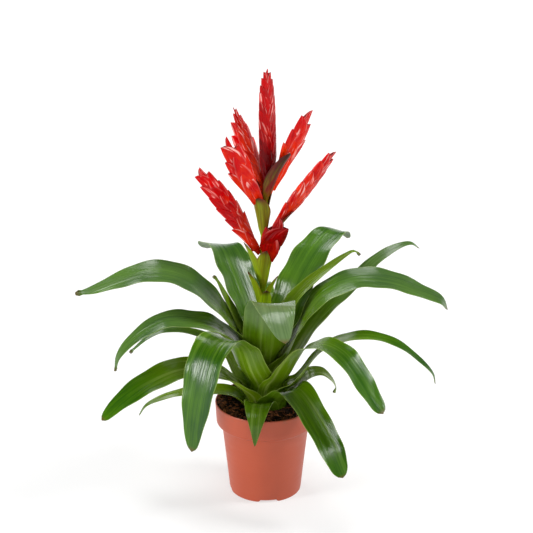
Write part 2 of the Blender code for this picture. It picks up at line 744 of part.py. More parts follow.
def build_spike(spike):
    """Makes one flat spike: its thin axis with two ranks of bracts joined to it."""
    run = spike.length - spike.bare - BRACT_LENGTH * (1.0 - LENGTH_SHRINK)
    count = int(round(run / BRACT_STEP)) + 1
    local = np.zeros((SPIKE_AXIS_ROWS, 3))
    local[:, 2] = np.linspace(0.0, spike.length * SPIKE_AXIS_SHARE, SPIKE_AXIS_ROWS)
    radii = np.full(SPIKE_AXIS_ROWS, SPIKE_AXIS_RADIUS)
    axis = tube_mesh(spike.name, local, radii, SPIKE_AXIS_SIDES)
    points = np.array([vertex.co for vertex in axis.vertices]) / MM
    for vertex, point in zip(axis.vertices, place_on_spike(spike, points)):
        vertex.co = point * MM
    bracts = [spike_bract_mesh(spike, index, count) for index in range(count)]
    fuse(spike.name, "bract", axis, bracts)


def build_plant():
    """Builds the short stem, the stalk, the spikes and the leaves."""
    build_short_stem()
    build_stalk()
    for spike in SPIKES:
        build_spike(spike)
    for layer, leaf in enumerate(LEAVES):
        add_object(leaf.name, leaf_mesh(leaf, layer), "leaf")


def main():
    """Builds the whole object in an empty scene."""
    clear_scene()
    build_pot()
    build_soil()
    build_plant()


main()
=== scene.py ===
"""A flaming sword bromeliad in its plastic pot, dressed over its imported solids.

Lengths in the tables are in millimetres and MM turns them into metres. The
plant stands on the floor with the pot's axis on Z, and is looked at from -Y.
"""

import json
import logging
from collections.abc import Callable
from dataclasses import dataclass, field
from enum import Enum
from math import cos, pi, radians, sin

import bmesh
import bpy
import numpy as np
from mathutils import Matrix, Vector

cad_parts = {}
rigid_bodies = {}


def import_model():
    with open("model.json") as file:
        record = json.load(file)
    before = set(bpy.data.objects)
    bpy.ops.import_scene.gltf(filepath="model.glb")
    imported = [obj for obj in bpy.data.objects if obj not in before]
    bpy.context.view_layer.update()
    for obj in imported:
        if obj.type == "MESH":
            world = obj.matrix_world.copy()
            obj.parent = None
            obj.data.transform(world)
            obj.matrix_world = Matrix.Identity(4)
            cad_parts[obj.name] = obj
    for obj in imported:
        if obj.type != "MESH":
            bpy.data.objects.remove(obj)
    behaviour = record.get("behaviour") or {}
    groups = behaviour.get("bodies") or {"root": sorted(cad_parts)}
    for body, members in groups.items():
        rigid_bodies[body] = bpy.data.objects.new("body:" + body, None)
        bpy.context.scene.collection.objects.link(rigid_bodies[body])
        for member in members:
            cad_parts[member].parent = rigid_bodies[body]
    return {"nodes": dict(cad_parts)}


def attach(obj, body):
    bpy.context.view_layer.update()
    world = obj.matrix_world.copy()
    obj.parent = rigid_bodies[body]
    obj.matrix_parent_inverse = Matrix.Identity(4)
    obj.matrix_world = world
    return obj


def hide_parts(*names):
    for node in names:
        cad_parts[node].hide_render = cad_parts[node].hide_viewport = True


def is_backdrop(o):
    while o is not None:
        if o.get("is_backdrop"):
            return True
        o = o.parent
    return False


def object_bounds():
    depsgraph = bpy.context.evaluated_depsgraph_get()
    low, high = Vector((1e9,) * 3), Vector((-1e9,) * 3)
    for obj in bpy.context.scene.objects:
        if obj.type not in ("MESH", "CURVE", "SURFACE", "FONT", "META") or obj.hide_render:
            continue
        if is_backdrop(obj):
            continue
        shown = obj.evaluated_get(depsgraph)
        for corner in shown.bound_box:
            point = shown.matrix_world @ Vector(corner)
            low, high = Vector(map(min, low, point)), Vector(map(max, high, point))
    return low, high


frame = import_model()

Pair = tuple[float, float]
Triple = tuple[float, float, float]

LOG = logging.getLogger("bromeliad")
MM = 0.001
CLEAR = 0.3
TINY = 1e-9
ROUTE_STEPS = 24
NOISE_MEAN = 0.5
SHARP_ANGLE = radians(50.0)
SIDEWAYS = np.array([1.0, 0.0, 0.0])
UPRIGHT = np.array([0.0, 0.0, 1.0])
WHITE: Triple = (255, 255, 255)


class Slot(Enum):
    """The record's material slots."""

    POT = "pot"
    SOIL = "soil"
    LEAF = "leaf"
    STALK = "stalk"
    BRACT = "bract"


class Detail(Enum):
    """How many finer layers a noise has."""

    LOW = 2.0
    MIDDLE = 3.0
    HIGH = 4.0


def linear(colour: Triple) -> Triple:
    """Turns an sRGB colour of 0 to 255 into a linear one of 0 to 1."""
    shares = [channel / 255.0 for channel in colour]
    return tuple(s / 12.92 if s <= 0.04045 else ((s + 0.055) / 1.055) ** 2.4 for s in shares)


# Shader nodes


def math_method(operation: str, reflected: bool = False) -> Callable[["Wire", object], "Wire"]:
    """Makes one of the arithmetic methods of a wire.

    Args:
        operation: the operation of the Math node that the method adds.
        reflected: whether the wire is the second of the node's two values.

    Returns:
        The method.
    """

    def method(self: "Wire", other: object) -> "Wire":
        """Adds the Math node behind the wire."""
        values = {0: other, 1: self} if reflected else {0: self, 1: other}
        return self.graph.node("ShaderNodeMath", {"operation": operation}, values)

    return method


class Wire:
    """One output socket, with arithmetic that adds Math nodes behind it."""

    def __init__(self, graph: "Graph", socket: bpy.types.NodeSocket) -> None:
        """Keeps the graph and the socket."""
        self.graph = graph
        self.socket = socket

    __add__ = math_method("ADD")
    __radd__ = math_method("ADD", reflected=True)
    __sub__ = math_method("SUBTRACT")
    __rsub__ = math_method("SUBTRACT", reflected=True)
    __mul__ = math_method("MULTIPLY")
    __rmul__ = math_method("MULTIPLY", reflected=True)

    def __abs__(self) -> "Wire":
        """Drops the sign."""
        return self.graph.node("ShaderNodeMath", {"operation": "ABSOLUTE"}, {0: self})

    def swing(self, weight: float) -> "Wire":
        """Gives how far a noise is off its mean, times a weight."""
        return (self - NOISE_MEAN) * weight

    def line(self, slope: float, base: float) -> "Wire":
        """Gives the value times a slope, plus a base."""
        return self * slope + base

    def between(self, low: float, high: float, start: float = 0.0, end: float = 1.0) -> "Wire":
        """Maps low..high smoothly to start..end and holds it there.

        Args:
            low: the value that gives start.
            high: the value that gives end.
            start: the result at and before low.
            end: the result at and past high.

        Returns:
            The mapped value.
        """
        values = {"Value": self, 1: low, 2: high, 3: start, 4: end}
        return self.graph.node("ShaderNodeMapRange", {"interpolation_type": "SMOOTHSTEP"}, values)


class Graph:
    """A material's node tree, grown by code."""

    def __init__(self, name: str) -> None:
        """Starts a material with its Principled shader alone.

        Args:
            name: the material's name.
        """
        self.material = bpy.data.materials.new(name)
        self.material.use_nodes = True
        self.tree = self.material.node_tree
        self.shader = self.tree.nodes["Principled BSDF"]

    def node(
        self,
        kind: str,
        settings: dict[str, object] | None = None,
        inputs: dict[object, object] | None = None,
        output: object = 0,
    ) -> Wire:
        """Adds any node.

        Args:
            kind: the node's type.
            settings: its properties, set before its sockets.
            inputs: socket names or numbers, with values or wires.
            output: the name or number of the socket to hand back.

        Returns:
            The wanted output.
        """
        made = self.tree.nodes.new(kind)
        for key, value in (settings or {}).items():
            setattr(made, key, value)
        for key, value in (inputs or {}).items():
            self.plug(made.inputs[key], value)
        return Wire(self, made.outputs[output])

    def plug(self, socket: bpy.types.NodeSocket, value: object) -> None:
        """Links a wire to a socket, or sets the socket's own value.

        Args:
            socket: the input.
            value: a wire, a number, a vector, or an sRGB colour of 0 to 255.
        """
        if isinstance(value, Wire):
            self.tree.links.new(value.socket, socket)
        elif socket.type == "RGBA":
            socket.default_value = (*linear(value), 1.0)
        else:
            socket.default_value = value

    def value_of(self, name: str) -> Wire:
        """Reads one number that the mesh carries."""
        return self.node("ShaderNodeAttribute", {"attribute_name": name}, output="Fac")

    def lie(self) -> Wire:
        """Reads the mesh's own place across and along each of its parts, in millimetres."""
        return self.node("ShaderNodeAttribute", {"attribute_name": "lie"}, output="Vector")

    def object_place(self) -> Wire:
        """Reads the place on the object, in metres."""
        return self.node("ShaderNodeTexCoord", output="Object")

    def stretch(self, vector: Wire, scale: Triple) -> Wire:
        """Multiplies a vector by another, axis by axis."""
        return self.node("ShaderNodeVectorMath", {"operation": "MULTIPLY"}, {0: vector, 1: scale})

    def noise(self, vector: Wire, scale: float, detail: Detail, rough: float = 0.5) -> Wire:
        """Adds a noise texture and hands back its height, about NOISE_MEAN on average."""
        values = {"Vector": vector, "Scale": scale, "Detail": detail.value, "Roughness": rough}
        return self.node("ShaderNodeTexNoise", None, values, "Fac")

    def streaks(self, lie: Wire, grain: Pair, detail: Detail = Detail.LOW) -> Wire:
        """Adds noise with so many waves to a millimetre across and along the part."""
        return self.noise(self.stretch(lie, (*grain, 1.0)), 1.0, detail)

    def mix(self, share: object, first: object, second: object) -> Wire:
        """Mixes two colours.

        Args:
            share: how much of the second one.
            first: an sRGB colour of 0 to 255, or a wire.
            second: the same.

        Returns:
            The mixed colour.
        """
        settings = {"data_type": "RGBA", "clamp_factor": True}
        # sockets 6 and 7 are the two colours of a Mix node, and output 2 is the mixed one
        return self.node("ShaderNodeMix", settings, {0: share, 6: first, 7: second}, 2)

    def bump(self, height: Wire, distance: float, strength: float) -> Wire:
        """Turns a height into a normal; distance is in metres."""
        values = {"Height": height, "Distance": distance, "Strength": strength}
        return self.node("ShaderNodeBump", None, values)

    def finish(self, **sockets: object) -> bpy.types.Material:
        """Feeds the shader's sockets, named with underscores.

        Args:
            sockets: the values or wires.

        Returns:
            The material.
        """
        for key, value in sockets.items():
            self.plug(self.shader.inputs[key.replace("_", " ")], value)
        return self.material


class SkyGraph(Graph):
    """The world's node tree, grown the same way."""

    def __init__(self, name: str) -> None:
        """Starts a world with its Background shader alone.

        Args:
            name: the world's name.
        """
        self.world = bpy.data.worlds.new(name)
        self.world.use_nodes = True
        self.tree = self.world.node_tree
        self.shader = self.tree.nodes["Background"]


# Finishes. A grain is a noise's waves to a millimetre across and along the part,
# or its waves to a metre. A swing or weight is how much something counts. A line
# is a slope or a swing, and a base. A band is the two values between which
# something sets in. A relief is a bump's depth in metres and its strength.


@dataclass(frozen=True)
class LeafFinish:
    """Glossy green strap leaves: pale at the root, veined along, scurfy underneath.

    The swings are those of the veins, the stripes and the patches, and the
    under swings those of the veins and the stripes on the lower face. The far
    half of some leaves gets a painted sheen, a pale wash that stands for
    reflected light.
    """

    dark: Triple = (28, 72, 0)
    light: Triple = (82, 128, 2)
    root: Triple = (116, 144, 4)
    bloom: Triple = (190, 200, 120)
    under: Triple = (50, 84, 2)
    edge: Triple = (150, 170, 80)
    painted_sheen: Triple = (108, 128, 88)
    tip: Triple = (96, 74, 40)
    vein_grain: Pair = (0.7, 0.010)
    stripe_grain: Pair = (0.22, 0.008)
    patch_grain: Pair = (0.035, 0.018)
    swings: Triple = (1.0, 0.6, 1.2)
    lightness: float = 0.30
    under_swings: Pair = (1.6, 1.0)
    under_lightness: float = 0.4
    root_weight: float = 0.9
    under_root_weight: float = 0.8
    streak_band: Pair = (0.50, 0.70)
    streak_line: Pair = (0.9, 0.2)
    streak_weight: float = 0.65
    edge_band: Pair = (0.95, 1.0)
    edge_weight: float = 0.6
    painted_sheen_line: Pair = (0.9, 0.45)
    scorch_band: Pair = (0.975, 1.0)
    scorch_line: Pair = (0.8, 0.4)
    roughness: float = 0.20
    stripe_roughness: float = 0.16
    under_roughness: float = 0.14
    stripe_height: float = 1.2
    relief: Pair = (0.0008, 0.5)
    specular: float = 0.34

    def build(self) -> bpy.types.Material:
        """Makes the material from the blade's own values.

        Returns:
            The material.
        """
        g = Graph("leaf_cuticle")
        lie = g.lie()
        under = g.value_of("under")
        pale = g.value_of("pale")
        veins = g.streaks(lie, self.vein_grain)
        stripes = g.streaks(lie, self.stripe_grain)
        patches = g.streaks(lie, self.patch_grain)
        vein, stripe, patch = self.swings
        shade = veins.swing(vein) + stripes.swing(stripe) + patches.swing(patch) + self.lightness
        upper = g.mix(shade, self.dark, self.light)
        upper = g.mix(pale * self.root_weight, upper, self.root)
        vein, stripe = self.under_swings
        shade = veins.swing(vein) + stripes.swing(stripe) + self.under_lightness
        lower = g.mix(shade, self.under, self.light)
        lower = g.mix(pale * self.under_root_weight, lower, self.root)
        face = g.mix(under, upper, lower)
        streak = pale * stripes.between(*self.streak_band) * veins.line(*self.streak_line)
        face = g.mix(streak * self.streak_weight, face, self.bloom)
        across = abs(g.value_of("across"))
        face = g.mix(across.between(*self.edge_band, 0.0, self.edge_weight), face, self.edge)
        # Painted sheen: a pale wash on the far half of some leaves stands for reflected light.
        painted_sheen_share = g.value_of("sheen") * veins.line(*self.painted_sheen_line)
        face = g.mix(painted_sheen_share, face, self.painted_sheen)
        scorch = g.value_of("along").between(*self.scorch_band) * patches.line(*self.scorch_line)
        face = g.mix(scorch, face, self.tip)
        rough = self.roughness + stripes.swing(self.stripe_roughness)
        return g.finish(
            Base_Color=face,
            Roughness=rough + under * self.under_roughness,
            Normal=g.bump(veins + stripes * self.stripe_height, *self.relief),
            Specular_IOR_Level=self.specular,
        )


@dataclass(frozen=True)
class BractFinish:
    """Waxy red bracts: orange towards the foot of a spike, pinkish along their margins.

    Warm says how much the clouds, a low bract and a bract's own foot turn it
    orange, and cool takes a little off everywhere. Dark holds the swings with
    which the fine grain, the clouds and the folds deepen it; the deepening in
    the folds' hollows is painted shade, and the tone that a bract carries also
    holds a painted shadow at the foot of its spike. The pinkish streaks on the
    folds' ridges are a painted highlight, and the pinkish margins are partly
    the bracts' own pale edge and partly a painted highlight.
    """

    red: Triple = (204, 0, 5)
    deep_red_and_shade: Triple = (104, 0, 4)
    orange: Triple = (246, 60, 4)
    pink_margin_and_highlight: Triple = (252, 182, 174)
    fine_grain: Pair = (0.8, 0.05)
    cloud_grain: Pair = (0.10, 0.05)
    fold_grain: Pair = (0.35, 0.035)
    warm: Triple = (1.7, 0.35, 0.45)
    cool: float = 0.2
    dark: Triple = (0.6, -1.0, -0.8)
    pink_reach_tones: Pair = (0.2, 0.8)
    pink_reach_band: Pair = (0.1, 0.7)
    painted_highlight_folds: Pair = (0.56, 0.68)
    painted_highlight_clouds: Pair = (0.40, 0.56)
    painted_highlight_height: float = 0.5
    painted_highlight_weight: float = 0.9
    margin_band: Pair = (0.90, 0.99)
    margin_grain: float = 1.1
    margin_least: float = 0.75
    roughness: float = 0.15
    cloud_roughness: float = 0.12
    fold_height: float = 2.0
    fine_height: float = 0.6
    relief: Pair = (0.0010, 0.8)
    specular: float = 0.13

    def build(self) -> bpy.types.Material:
        """Makes the material from the bracts' own values.

        Returns:
            The material.
        """
        g = Graph("flower_bract")
        lie = g.lie()
        along = g.value_of("along")
        height = g.value_of("height")
        tone = g.value_of("tone")
        fine = g.streaks(lie, self.fine_grain, Detail.MIDDLE)
        cloud = g.streaks(lie, self.cloud_grain)
        folds = g.streaks(lie, self.fold_grain)
        clouded, low, near = self.warm
        warm = cloud.swing(clouded) + (1.0 - height) * low + (1.0 - along) * near
        face = g.mix(warm + g.value_of("glow") - self.cool, self.red, self.orange)
        # Painted shade: the folds darken their hollows, and the tone adds a painted shadow at a
        # spike's foot.
        grained, clouded, folded = self.dark
        dark = fine.swing(grained) + tone + cloud.swing(clouded) + folds.swing(folded)
        face = g.mix(dark, face, self.deep_red_and_shade)
        # Painted highlight: pinkish streaks on the folds' ridges, more on higher bracts, fewer on
        # darker spikes.
        pink_reach = tone.between(*self.pink_reach_tones, 1.0, 0.0) * along.between(*self.pink_reach_band)
        painted_highlight = cloud.between(*self.painted_highlight_clouds) + height * self.painted_highlight_height
        painted_highlight = folds.between(*self.painted_highlight_folds) * painted_highlight
        face = g.mix(painted_highlight * pink_reach * self.painted_highlight_weight, face, self.pink_margin_and_highlight)
        # The pinkish margins are partly the bracts' own pale edge and partly a painted highlight.
        margin = abs(g.value_of("across")).between(*self.margin_band)
        margin = margin * (fine * self.margin_grain + folds - self.margin_least)
        face = g.mix(margin * pink_reach, face, self.pink_margin_and_highlight)
        relief = folds * self.fold_height + fine * self.fine_height
        return g.finish(
            Base_Color=face,
            Roughness=self.roughness + cloud.swing(self.cloud_roughness),
            Normal=g.bump(relief, *self.relief),
            Specular_IOR_Level=self.specular,
        )


@dataclass(frozen=True)
class StalkFinish:
    """Green stalk and stalk bracts that redden upwards and towards the bracts' tips.

    Blush and burn each hold a base, a noise's swing and how much the place
    along the bract adds; green_line holds a swing and a base.
    """

    green: Triple = (152, 182, 14)
    dull: Triple = (100, 130, 10)
    red: Triple = (132, 16, 14)
    brown: Triple = (54, 24, 14)
    fine_grain: Pair = (0.9, 0.03)
    cloud_grain: Pair = (0.16, 0.04)
    green_line: Pair = (1.6, 0.45)
    tip_band: Pair = (0.82, 1.0)
    blush: Triple = (0.55, 2.4, 0.5)
    edge_band: Pair = (0.8, 1.0)
    edge_base: float = 0.25
    burn: Triple = (0.05, 1.2, 0.9)
    roughness: float = 0.38
    fine_roughness: float = 0.2
    relief: Pair = (0.0006, 0.7)
    specular: float = 0.22

    def build(self) -> bpy.types.Material:
        """Makes the material from the stalk's own values.

        Returns:
            The material.
        """
        g = Graph("stalk_skin")
        lie = g.lie()
        along = g.value_of("along")
        blush = g.value_of("blush")
        fine = g.streaks(lie, self.fine_grain, Detail.MIDDLE)
        cloud = g.streaks(lie, self.cloud_grain)
        swing, base = self.green_line
        face = g.mix(fine.swing(swing) + base, self.green, self.dull)
        face = g.mix(along.between(*self.tip_band), face, self.brown)
        base, swing, rise = self.blush
        face = g.mix(blush * (base + cloud.swing(swing) + along * rise), face, self.red)
        edge = abs(g.value_of("across")).between(*self.edge_band)
        face = g.mix(edge * (blush + self.edge_base), face, self.red)
        base, swing, rise = self.burn
        face = g.mix(blush * (along * rise + fine.swing(swing) + base), face, self.brown)
        return g.finish(
            Base_Color=face,
            Roughness=self.roughness + fine.swing(self.fine_roughness),
            Normal=g.bump(fine, *self.relief),
            Specular_IOR_Level=self.specular,
        )


@dataclass(frozen=True)
class PotFinish:
    """Terracotta-coloured moulded plastic with a fine satin grain."""

    clay: Triple = (176, 73, 40)
    shade: Triple = (158, 64, 36)
    dust: Triple = (120, 74, 54)
    cloud_grain: float = 22.0
    fine_grain: float = 1400.0
    flow_grain: float = 30.0
    flow_stretch: Triple = (1.0, 1.0, 9.0)
    shade_line: Pair = (0.9, 0.3)
    grime_grain: float = 160.0
    grime_heights: Pair = (0.106, 0.116)
    grime_band: Pair = (0.5, 0.72)
    grime_weight: float = 0.55
    roughness: float = 0.46
    flow_roughness: float = 0.18
    fine_height: float = 0.5
    flow_height: float = 0.4
    relief: Pair = (0.0002, 0.35)

    def build(self) -> bpy.types.Material:
        """Makes the material from the place on the pot.

        Returns:
            The material.
        """
        g = Graph("pot_plastic")
        place = g.object_place()
        cloud = g.noise(place, self.cloud_grain, Detail.MIDDLE)
        fine = g.noise(place, self.fine_grain, Detail.LOW)
        flow = g.noise(g.stretch(place, self.flow_stretch), self.flow_grain, Detail.MIDDLE)
        height = g.node("ShaderNodeSeparateXYZ", None, {0: place}, "Z")
        swing, base = self.shade_line
        face = g.mix(cloud.swing(swing) + base, self.clay, self.shade)
        grime = g.noise(place, self.grime_grain, Detail.HIGH)
        grime = height.between(*self.grime_heights) * grime.between(*self.grime_band)
        face = g.mix(grime * self.grime_weight, face, self.dust)
        relief = fine * self.fine_height + flow * self.flow_height
        return g.finish(
            Base_Color=face,
            Roughness=self.roughness + flow.swing(self.flow_roughness),
            Normal=g.bump(relief, *self.relief),
        )


@dataclass(frozen=True)
class SoilFinish:
    """Dark damp peat with paler fibres."""

    peat: Triple = (12, 7, 4)
    crumb: Triple = (50, 27, 15)
    fibre: Triple = (140, 84, 48)
    grit_grain: float = 380.0
    grit_rough: float = 0.6
    grit_band: Pair = (0.42, 0.68)
    cloud_grain: float = 60.0
    fibre_weight: float = 0.9
    roughness: float = 0.85
    cloud_roughness: float = 0.2
    relief: Pair = (0.0012, 0.8)
    specular: float = 0.12

    def build(self) -> bpy.types.Material:
        """Makes the material from the place in the pot and each crumb's own tint.

        Returns:
            The material.
        """
        g = Graph("peat")
        place = g.object_place()
        grit = g.noise(place, self.grit_grain, Detail.HIGH, self.grit_rough)
        cloud = g.noise(place, self.cloud_grain, Detail.MIDDLE)
        face = g.mix(grit.between(*self.grit_band), self.peat, self.crumb)
        face = g.mix(g.value_of("tint") * self.fibre_weight, face, self.fibre)
        return g.finish(
            Base_Color=face,
            Roughness=self.roughness + cloud.swing(self.cloud_roughness),
            Normal=g.bump(grit, *self.relief),
            Specular_IOR_Level=self.specular,
        )


@dataclass(frozen=True)
class StemFinish:
    """The short stem's pale fibrous skin."""

    skin: Triple = (132, 134, 78)
    fibre: Triple = (92, 80, 46)
    fibre_grain: float = 700.0
    fibre_stretch: Triple = (1.0, 1.0, 0.1)
    ring_grain: float = 500.0
    ring_stretch: Triple = (0.1, 0.1, 1.0)
    fibre_weight: float = 0.6
    ring_weight: float = 0.4
    roughness: float = 0.7
    relief: Pair = (0.0004, 0.6)

    def build(self) -> bpy.types.Material:
        """Makes the material from the place on the stem.

        Returns:
            The material.
        """
        g = Graph("stem_skin")
        place = g.object_place()
        drawn = g.stretch(place, self.fibre_stretch)
        fibres = g.noise(drawn, self.fibre_grain, Detail.MIDDLE)
        rings = g.noise(g.stretch(place, self.ring_stretch), self.ring_grain, Detail.LOW)
        share = fibres * self.fibre_weight + rings * self.ring_weight
        face = g.mix(share, self.skin, self.fibre)
        return g.finish(
            Base_Color=face,
            Roughness=self.roughness,
            Normal=g.bump(fibres, *self.relief),
        )


@dataclass(frozen=True)
class FloorFinish:
    """A plain pale studio floor, lit a little from below so that shadows stay faint."""

    paper: Triple = (176, 176, 176)
    patch: Triple = (170, 170, 170)
    patch_grain: float = 3.0
    roughness: float = 0.9
    specular: float = 0.1
    glow: float = 0.55

    def build(self) -> bpy.types.Material:
        """Makes the material with the faintest unevenness.

        Returns:
            The material.
        """
        g = Graph("floor_paper")
        patches = g.noise(g.object_place(), self.patch_grain, Detail.LOW)
        return g.finish(
            Base_Color=g.mix(patches, self.paper, self.patch),
            Roughness=self.roughness,
            Specular_IOR_Level=self.specular,
            Emission_Color=WHITE,
            Emission_Strength=self.glow,
        )


# Surfaces


@dataclass
class Surface:
    """Points in millimetres, faces that index them, and values for each point."""

    points: np.ndarray
    faces: list[np.ndarray]
    values: dict[str, np.ndarray] = field(default_factory=dict)

    def volume(self) -> float:
        """Sums the signed volume under all faces, positive where they point outwards.

        Returns:
            The volume in cubic millimetres.
        """
        total = 0.0
        for group in self.faces:
            first = self.points[group[:, 0]]
            for corner in range(1, group.shape[1] - 1):
                second = self.points[group[:, corner]]
                third = self.points[group[:, corner + 1]]
                total += float(np.einsum("ij,ij->i", first, np.cross(second, third)).sum())
        return total / 6.0

    def outward(self) -> "Surface":
        """Turns all faces round if they point inwards.

        Returns:
            The surface itself.
        """
        if self.volume() < 0.0:
            self.faces = [group[:, ::-1] for group in self.faces]
        return self

    def mark(self, **values: np.ndarray | float) -> None:
        """Gives the points more values, each of them one number or one for every point."""
        for key, value in values.items():
            self.values[key] = np.full(len(self.points), value, dtype=float)


def join(surfaces: list[Surface]) -> Surface:
    """Puts surfaces together as one, keeping the values that all of them have.

    Args:
        surfaces: the surfaces, in the order of their points.

    Returns:
        The one surface.
    """
    starts = np.cumsum([0] + [len(surface.points) for surface in surfaces[:-1]])
    faces = [
        group + start for surface, start in zip(surfaces, starts) for group in surface.faces
    ]
    keys = set.intersection(*[set(surface.values) for surface in surfaces])
    values = {key: np.concatenate([s.values[key] for s in surfaces]) for key in sorted(keys)}
    return Surface(np.concatenate([s.points for s in surfaces]), faces, values)


def publish(
    name: str, surface: Surface, material: bpy.types.Material, node: str
) -> bpy.types.Object:
    """Makes a piece of the surface that rides on the root and stands for a CAD node.

    Args:
        name: the piece's name.
        surface: its surface, in millimetres.
        material: its finish.
        node: the CAD node that it replaces.

    Returns:
        The piece.
    """
    mesh = bpy.data.meshes.new(name)
    polygons = [face for group in surface.faces for face in group.tolist()]
    mesh.from_pydata((surface.points * MM).tolist(), [], polygons)
    for key, value in surface.values.items():
        flat = value.ndim == 1
        layer = mesh.attributes.new(key, "FLOAT" if flat else "FLOAT_VECTOR", "POINT")
        layer.data.foreach_set("value" if flat else "vector", value.astype(np.float32).ravel())
    mesh.update()
    mesh.shade_smooth()
    mesh.set_sharp_from_angle(angle=SHARP_ANGLE)
    mesh.materials.append(material)
    piece = bpy.data.objects.new(name, mesh)
    bpy.context.scene.collection.objects.link(piece)
    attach(piece, "root")
    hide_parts(node)
    LOG.info("%s: %d faces", name, len(polygons))
    return piece


def ease(value: np.ndarray | float) -> np.ndarray | float:
    """Goes from 0 to 1 with level ends: 3t^2 - 2t^3."""
    held = np.clip(value, 0.0, 1.0)
    return held * held * (3.0 - 2.0 * held)


def ramp(value: np.ndarray | float, start: float, over: float) -> np.ndarray | float:
    """Eases from 0 at a start to 1 at so much over it."""
    return ease((value - start) / over)


def unit(vectors: np.ndarray) -> np.ndarray:
    """Scales vectors along the last axis to length 1."""
    return vectors / np.maximum(np.linalg.norm(vectors, axis=-1, keepdims=True), TINY)


def heading(angle: float) -> tuple[np.ndarray, np.ndarray]:
    """Gives the level unit vectors outwards at an angle from +X, and to the left of that."""
    return np.array([cos(angle), sin(angle), 0.0]), np.array([-sin(angle), cos(angle), 0.0])


def measured(path: np.ndarray) -> np.ndarray:
    """Gives the length along a path at each of its points."""
    steps = np.linalg.norm(np.diff(path, axis=0), axis=1)
    return np.concatenate([[0.0], np.cumsum(steps)])


def smooth_route(points: object, rows: int) -> np.ndarray:
    """Runs a Catmull-Rom curve through points and reads it by its length.

    Args:
        points: the points to pass through.
        rows: the number of steps.

    Returns:
        The rows + 1 places.
    """
    route = np.asarray(points, dtype=float)
    padded = np.vstack([2 * route[0] - route[1], route, 2 * route[-1] - route[-2]])
    t = np.linspace(0.0, 1.0, ROUTE_STEPS, endpoint=False)[:, None]
    dense = []
    for before, start, end, after in zip(padded, padded[1:], padded[2:], padded[3:]):
        bend = 2 * before - 5 * start + 4 * end - after
        twist = 3 * start - before - 3 * end + after
        dense.append(0.5 * (2 * start + (end - before) * t + bend * t**2 + twist * t**3))
    dense = np.vstack(dense + [route[-1:]])
    lengths = measured(dense)
    wanted = lengths[-1] * np.linspace(0.0, 1.0, rows + 1)
    return np.stack([np.interp(wanted, lengths, axis) for axis in dense.T], axis=1)


def standing(angle: float, reach: np.ndarray, heights: np.ndarray) -> tuple[np.ndarray, np.ndarray]:
    """Stands a route in the upright plane at an angle.

    Args:
        angle: the plane's angle from +X.
        reach: how far out each place is.
        heights: how high each place is.

    Returns:
        The places and their unit normals, which point up and inwards.
    """
    outward, _ = heading(angle)
    slope = unit(np.gradient(np.stack([reach, heights], axis=1), axis=0))
    normals = -slope[:, 1:2] * outward + slope[:, 0:1] * UPRIGHT
    return reach[:, None] * outward + heights[:, None] * UPRIGHT, normals


def arched(
    middles: np.ndarray,
    sides: np.ndarray,
    normals: np.ndarray,
    radii: np.ndarray,
    widths: np.ndarray,
    columns: int,
) -> tuple[np.ndarray, np.ndarray]:
    """Bends a strap into an arc across its midline.

    With a as the turn round the arc, a place is
    middle + (side sin a + normal (1 - cos a)) radius.

    Args:
        middles: the midline.
        sides: the unit vectors across it.
        normals: the unit vectors towards the arc's middle.
        radii: the arc's radius at each place.
        widths: the strap's width at each place.
        columns: how many places lie across it.

    Returns:
        Where the columns lie, from -1 to 1, and the grid of places.
    """
    across = np.linspace(-1.0, 1.0, columns)
    turn = across * (widths / 2 / radii)[:, None]
    sideways = sides[:, None] * np.sin(turn)[..., None]
    rise = normals[:, None] * (1.0 - np.cos(turn))[..., None]
    return across, middles[:, None] + (sideways + rise) * radii[:, None, None]


def laid(value: object, shape: tuple[int, int]) -> np.ndarray:
    """Lays a number, a row, a column or a tuple of three of them out over a grid.

    Args:
        value: what is laid out.
        shape: the grid's rows and columns.

    Returns:
        A number or a vector for each place on the grid.
    """
    if isinstance(value, tuple):
        return np.stack([laid(part, shape) for part in value], axis=-1)
    return np.broadcast_to(value, shape)


def shell(grid: np.ndarray, thickness: np.ndarray, values: dict[str, object]) -> Surface:
    """Gives a sheet a wall: two copies half the thickness off along its normals, and a rim.

    Args:
        grid: the sheet's middle, as rows by columns of points.
        thickness: the wall, for each column or for each point.
        values: what laid() can lay out; "under" is added, 1 on the second face.

    Returns:
        The closed surface.
    """
    rows, columns = grid.shape[:2]
    normals = unit(np.cross(np.gradient(grid, axis=0), np.gradient(grid, axis=1)))
    offset = normals * thickness[..., None] / 2
    points = np.concatenate([(grid + offset).reshape(-1, 3), (grid - offset).reshape(-1, 3)])
    number = np.arange(rows * columns).reshape(rows, columns)
    near, far = number[:-1, :-1], number[1:, 1:]
    face = np.stack([near, number[1:, :-1], far, number[:-1, 1:]], axis=-1).reshape(-1, 4)
    loop = np.concatenate([number[0, :-1], number[:-1, -1], number[-1, :0:-1], number[:0:-1, 0]])
    after = np.roll(loop, -1)
    total = rows * columns
    rim = np.stack([loop, after, after + total, loop + total], axis=-1)
    both = {}
    for key, value in values.items():
        sheet = laid(value, (rows, columns))
        both[key] = np.concatenate([sheet.reshape(total, *sheet.shape[2:])] * 2)
    both["under"] = np.repeat([0.0, 1.0], total)
    return Surface(points, [face, face[:, ::-1] + total, rim], both)


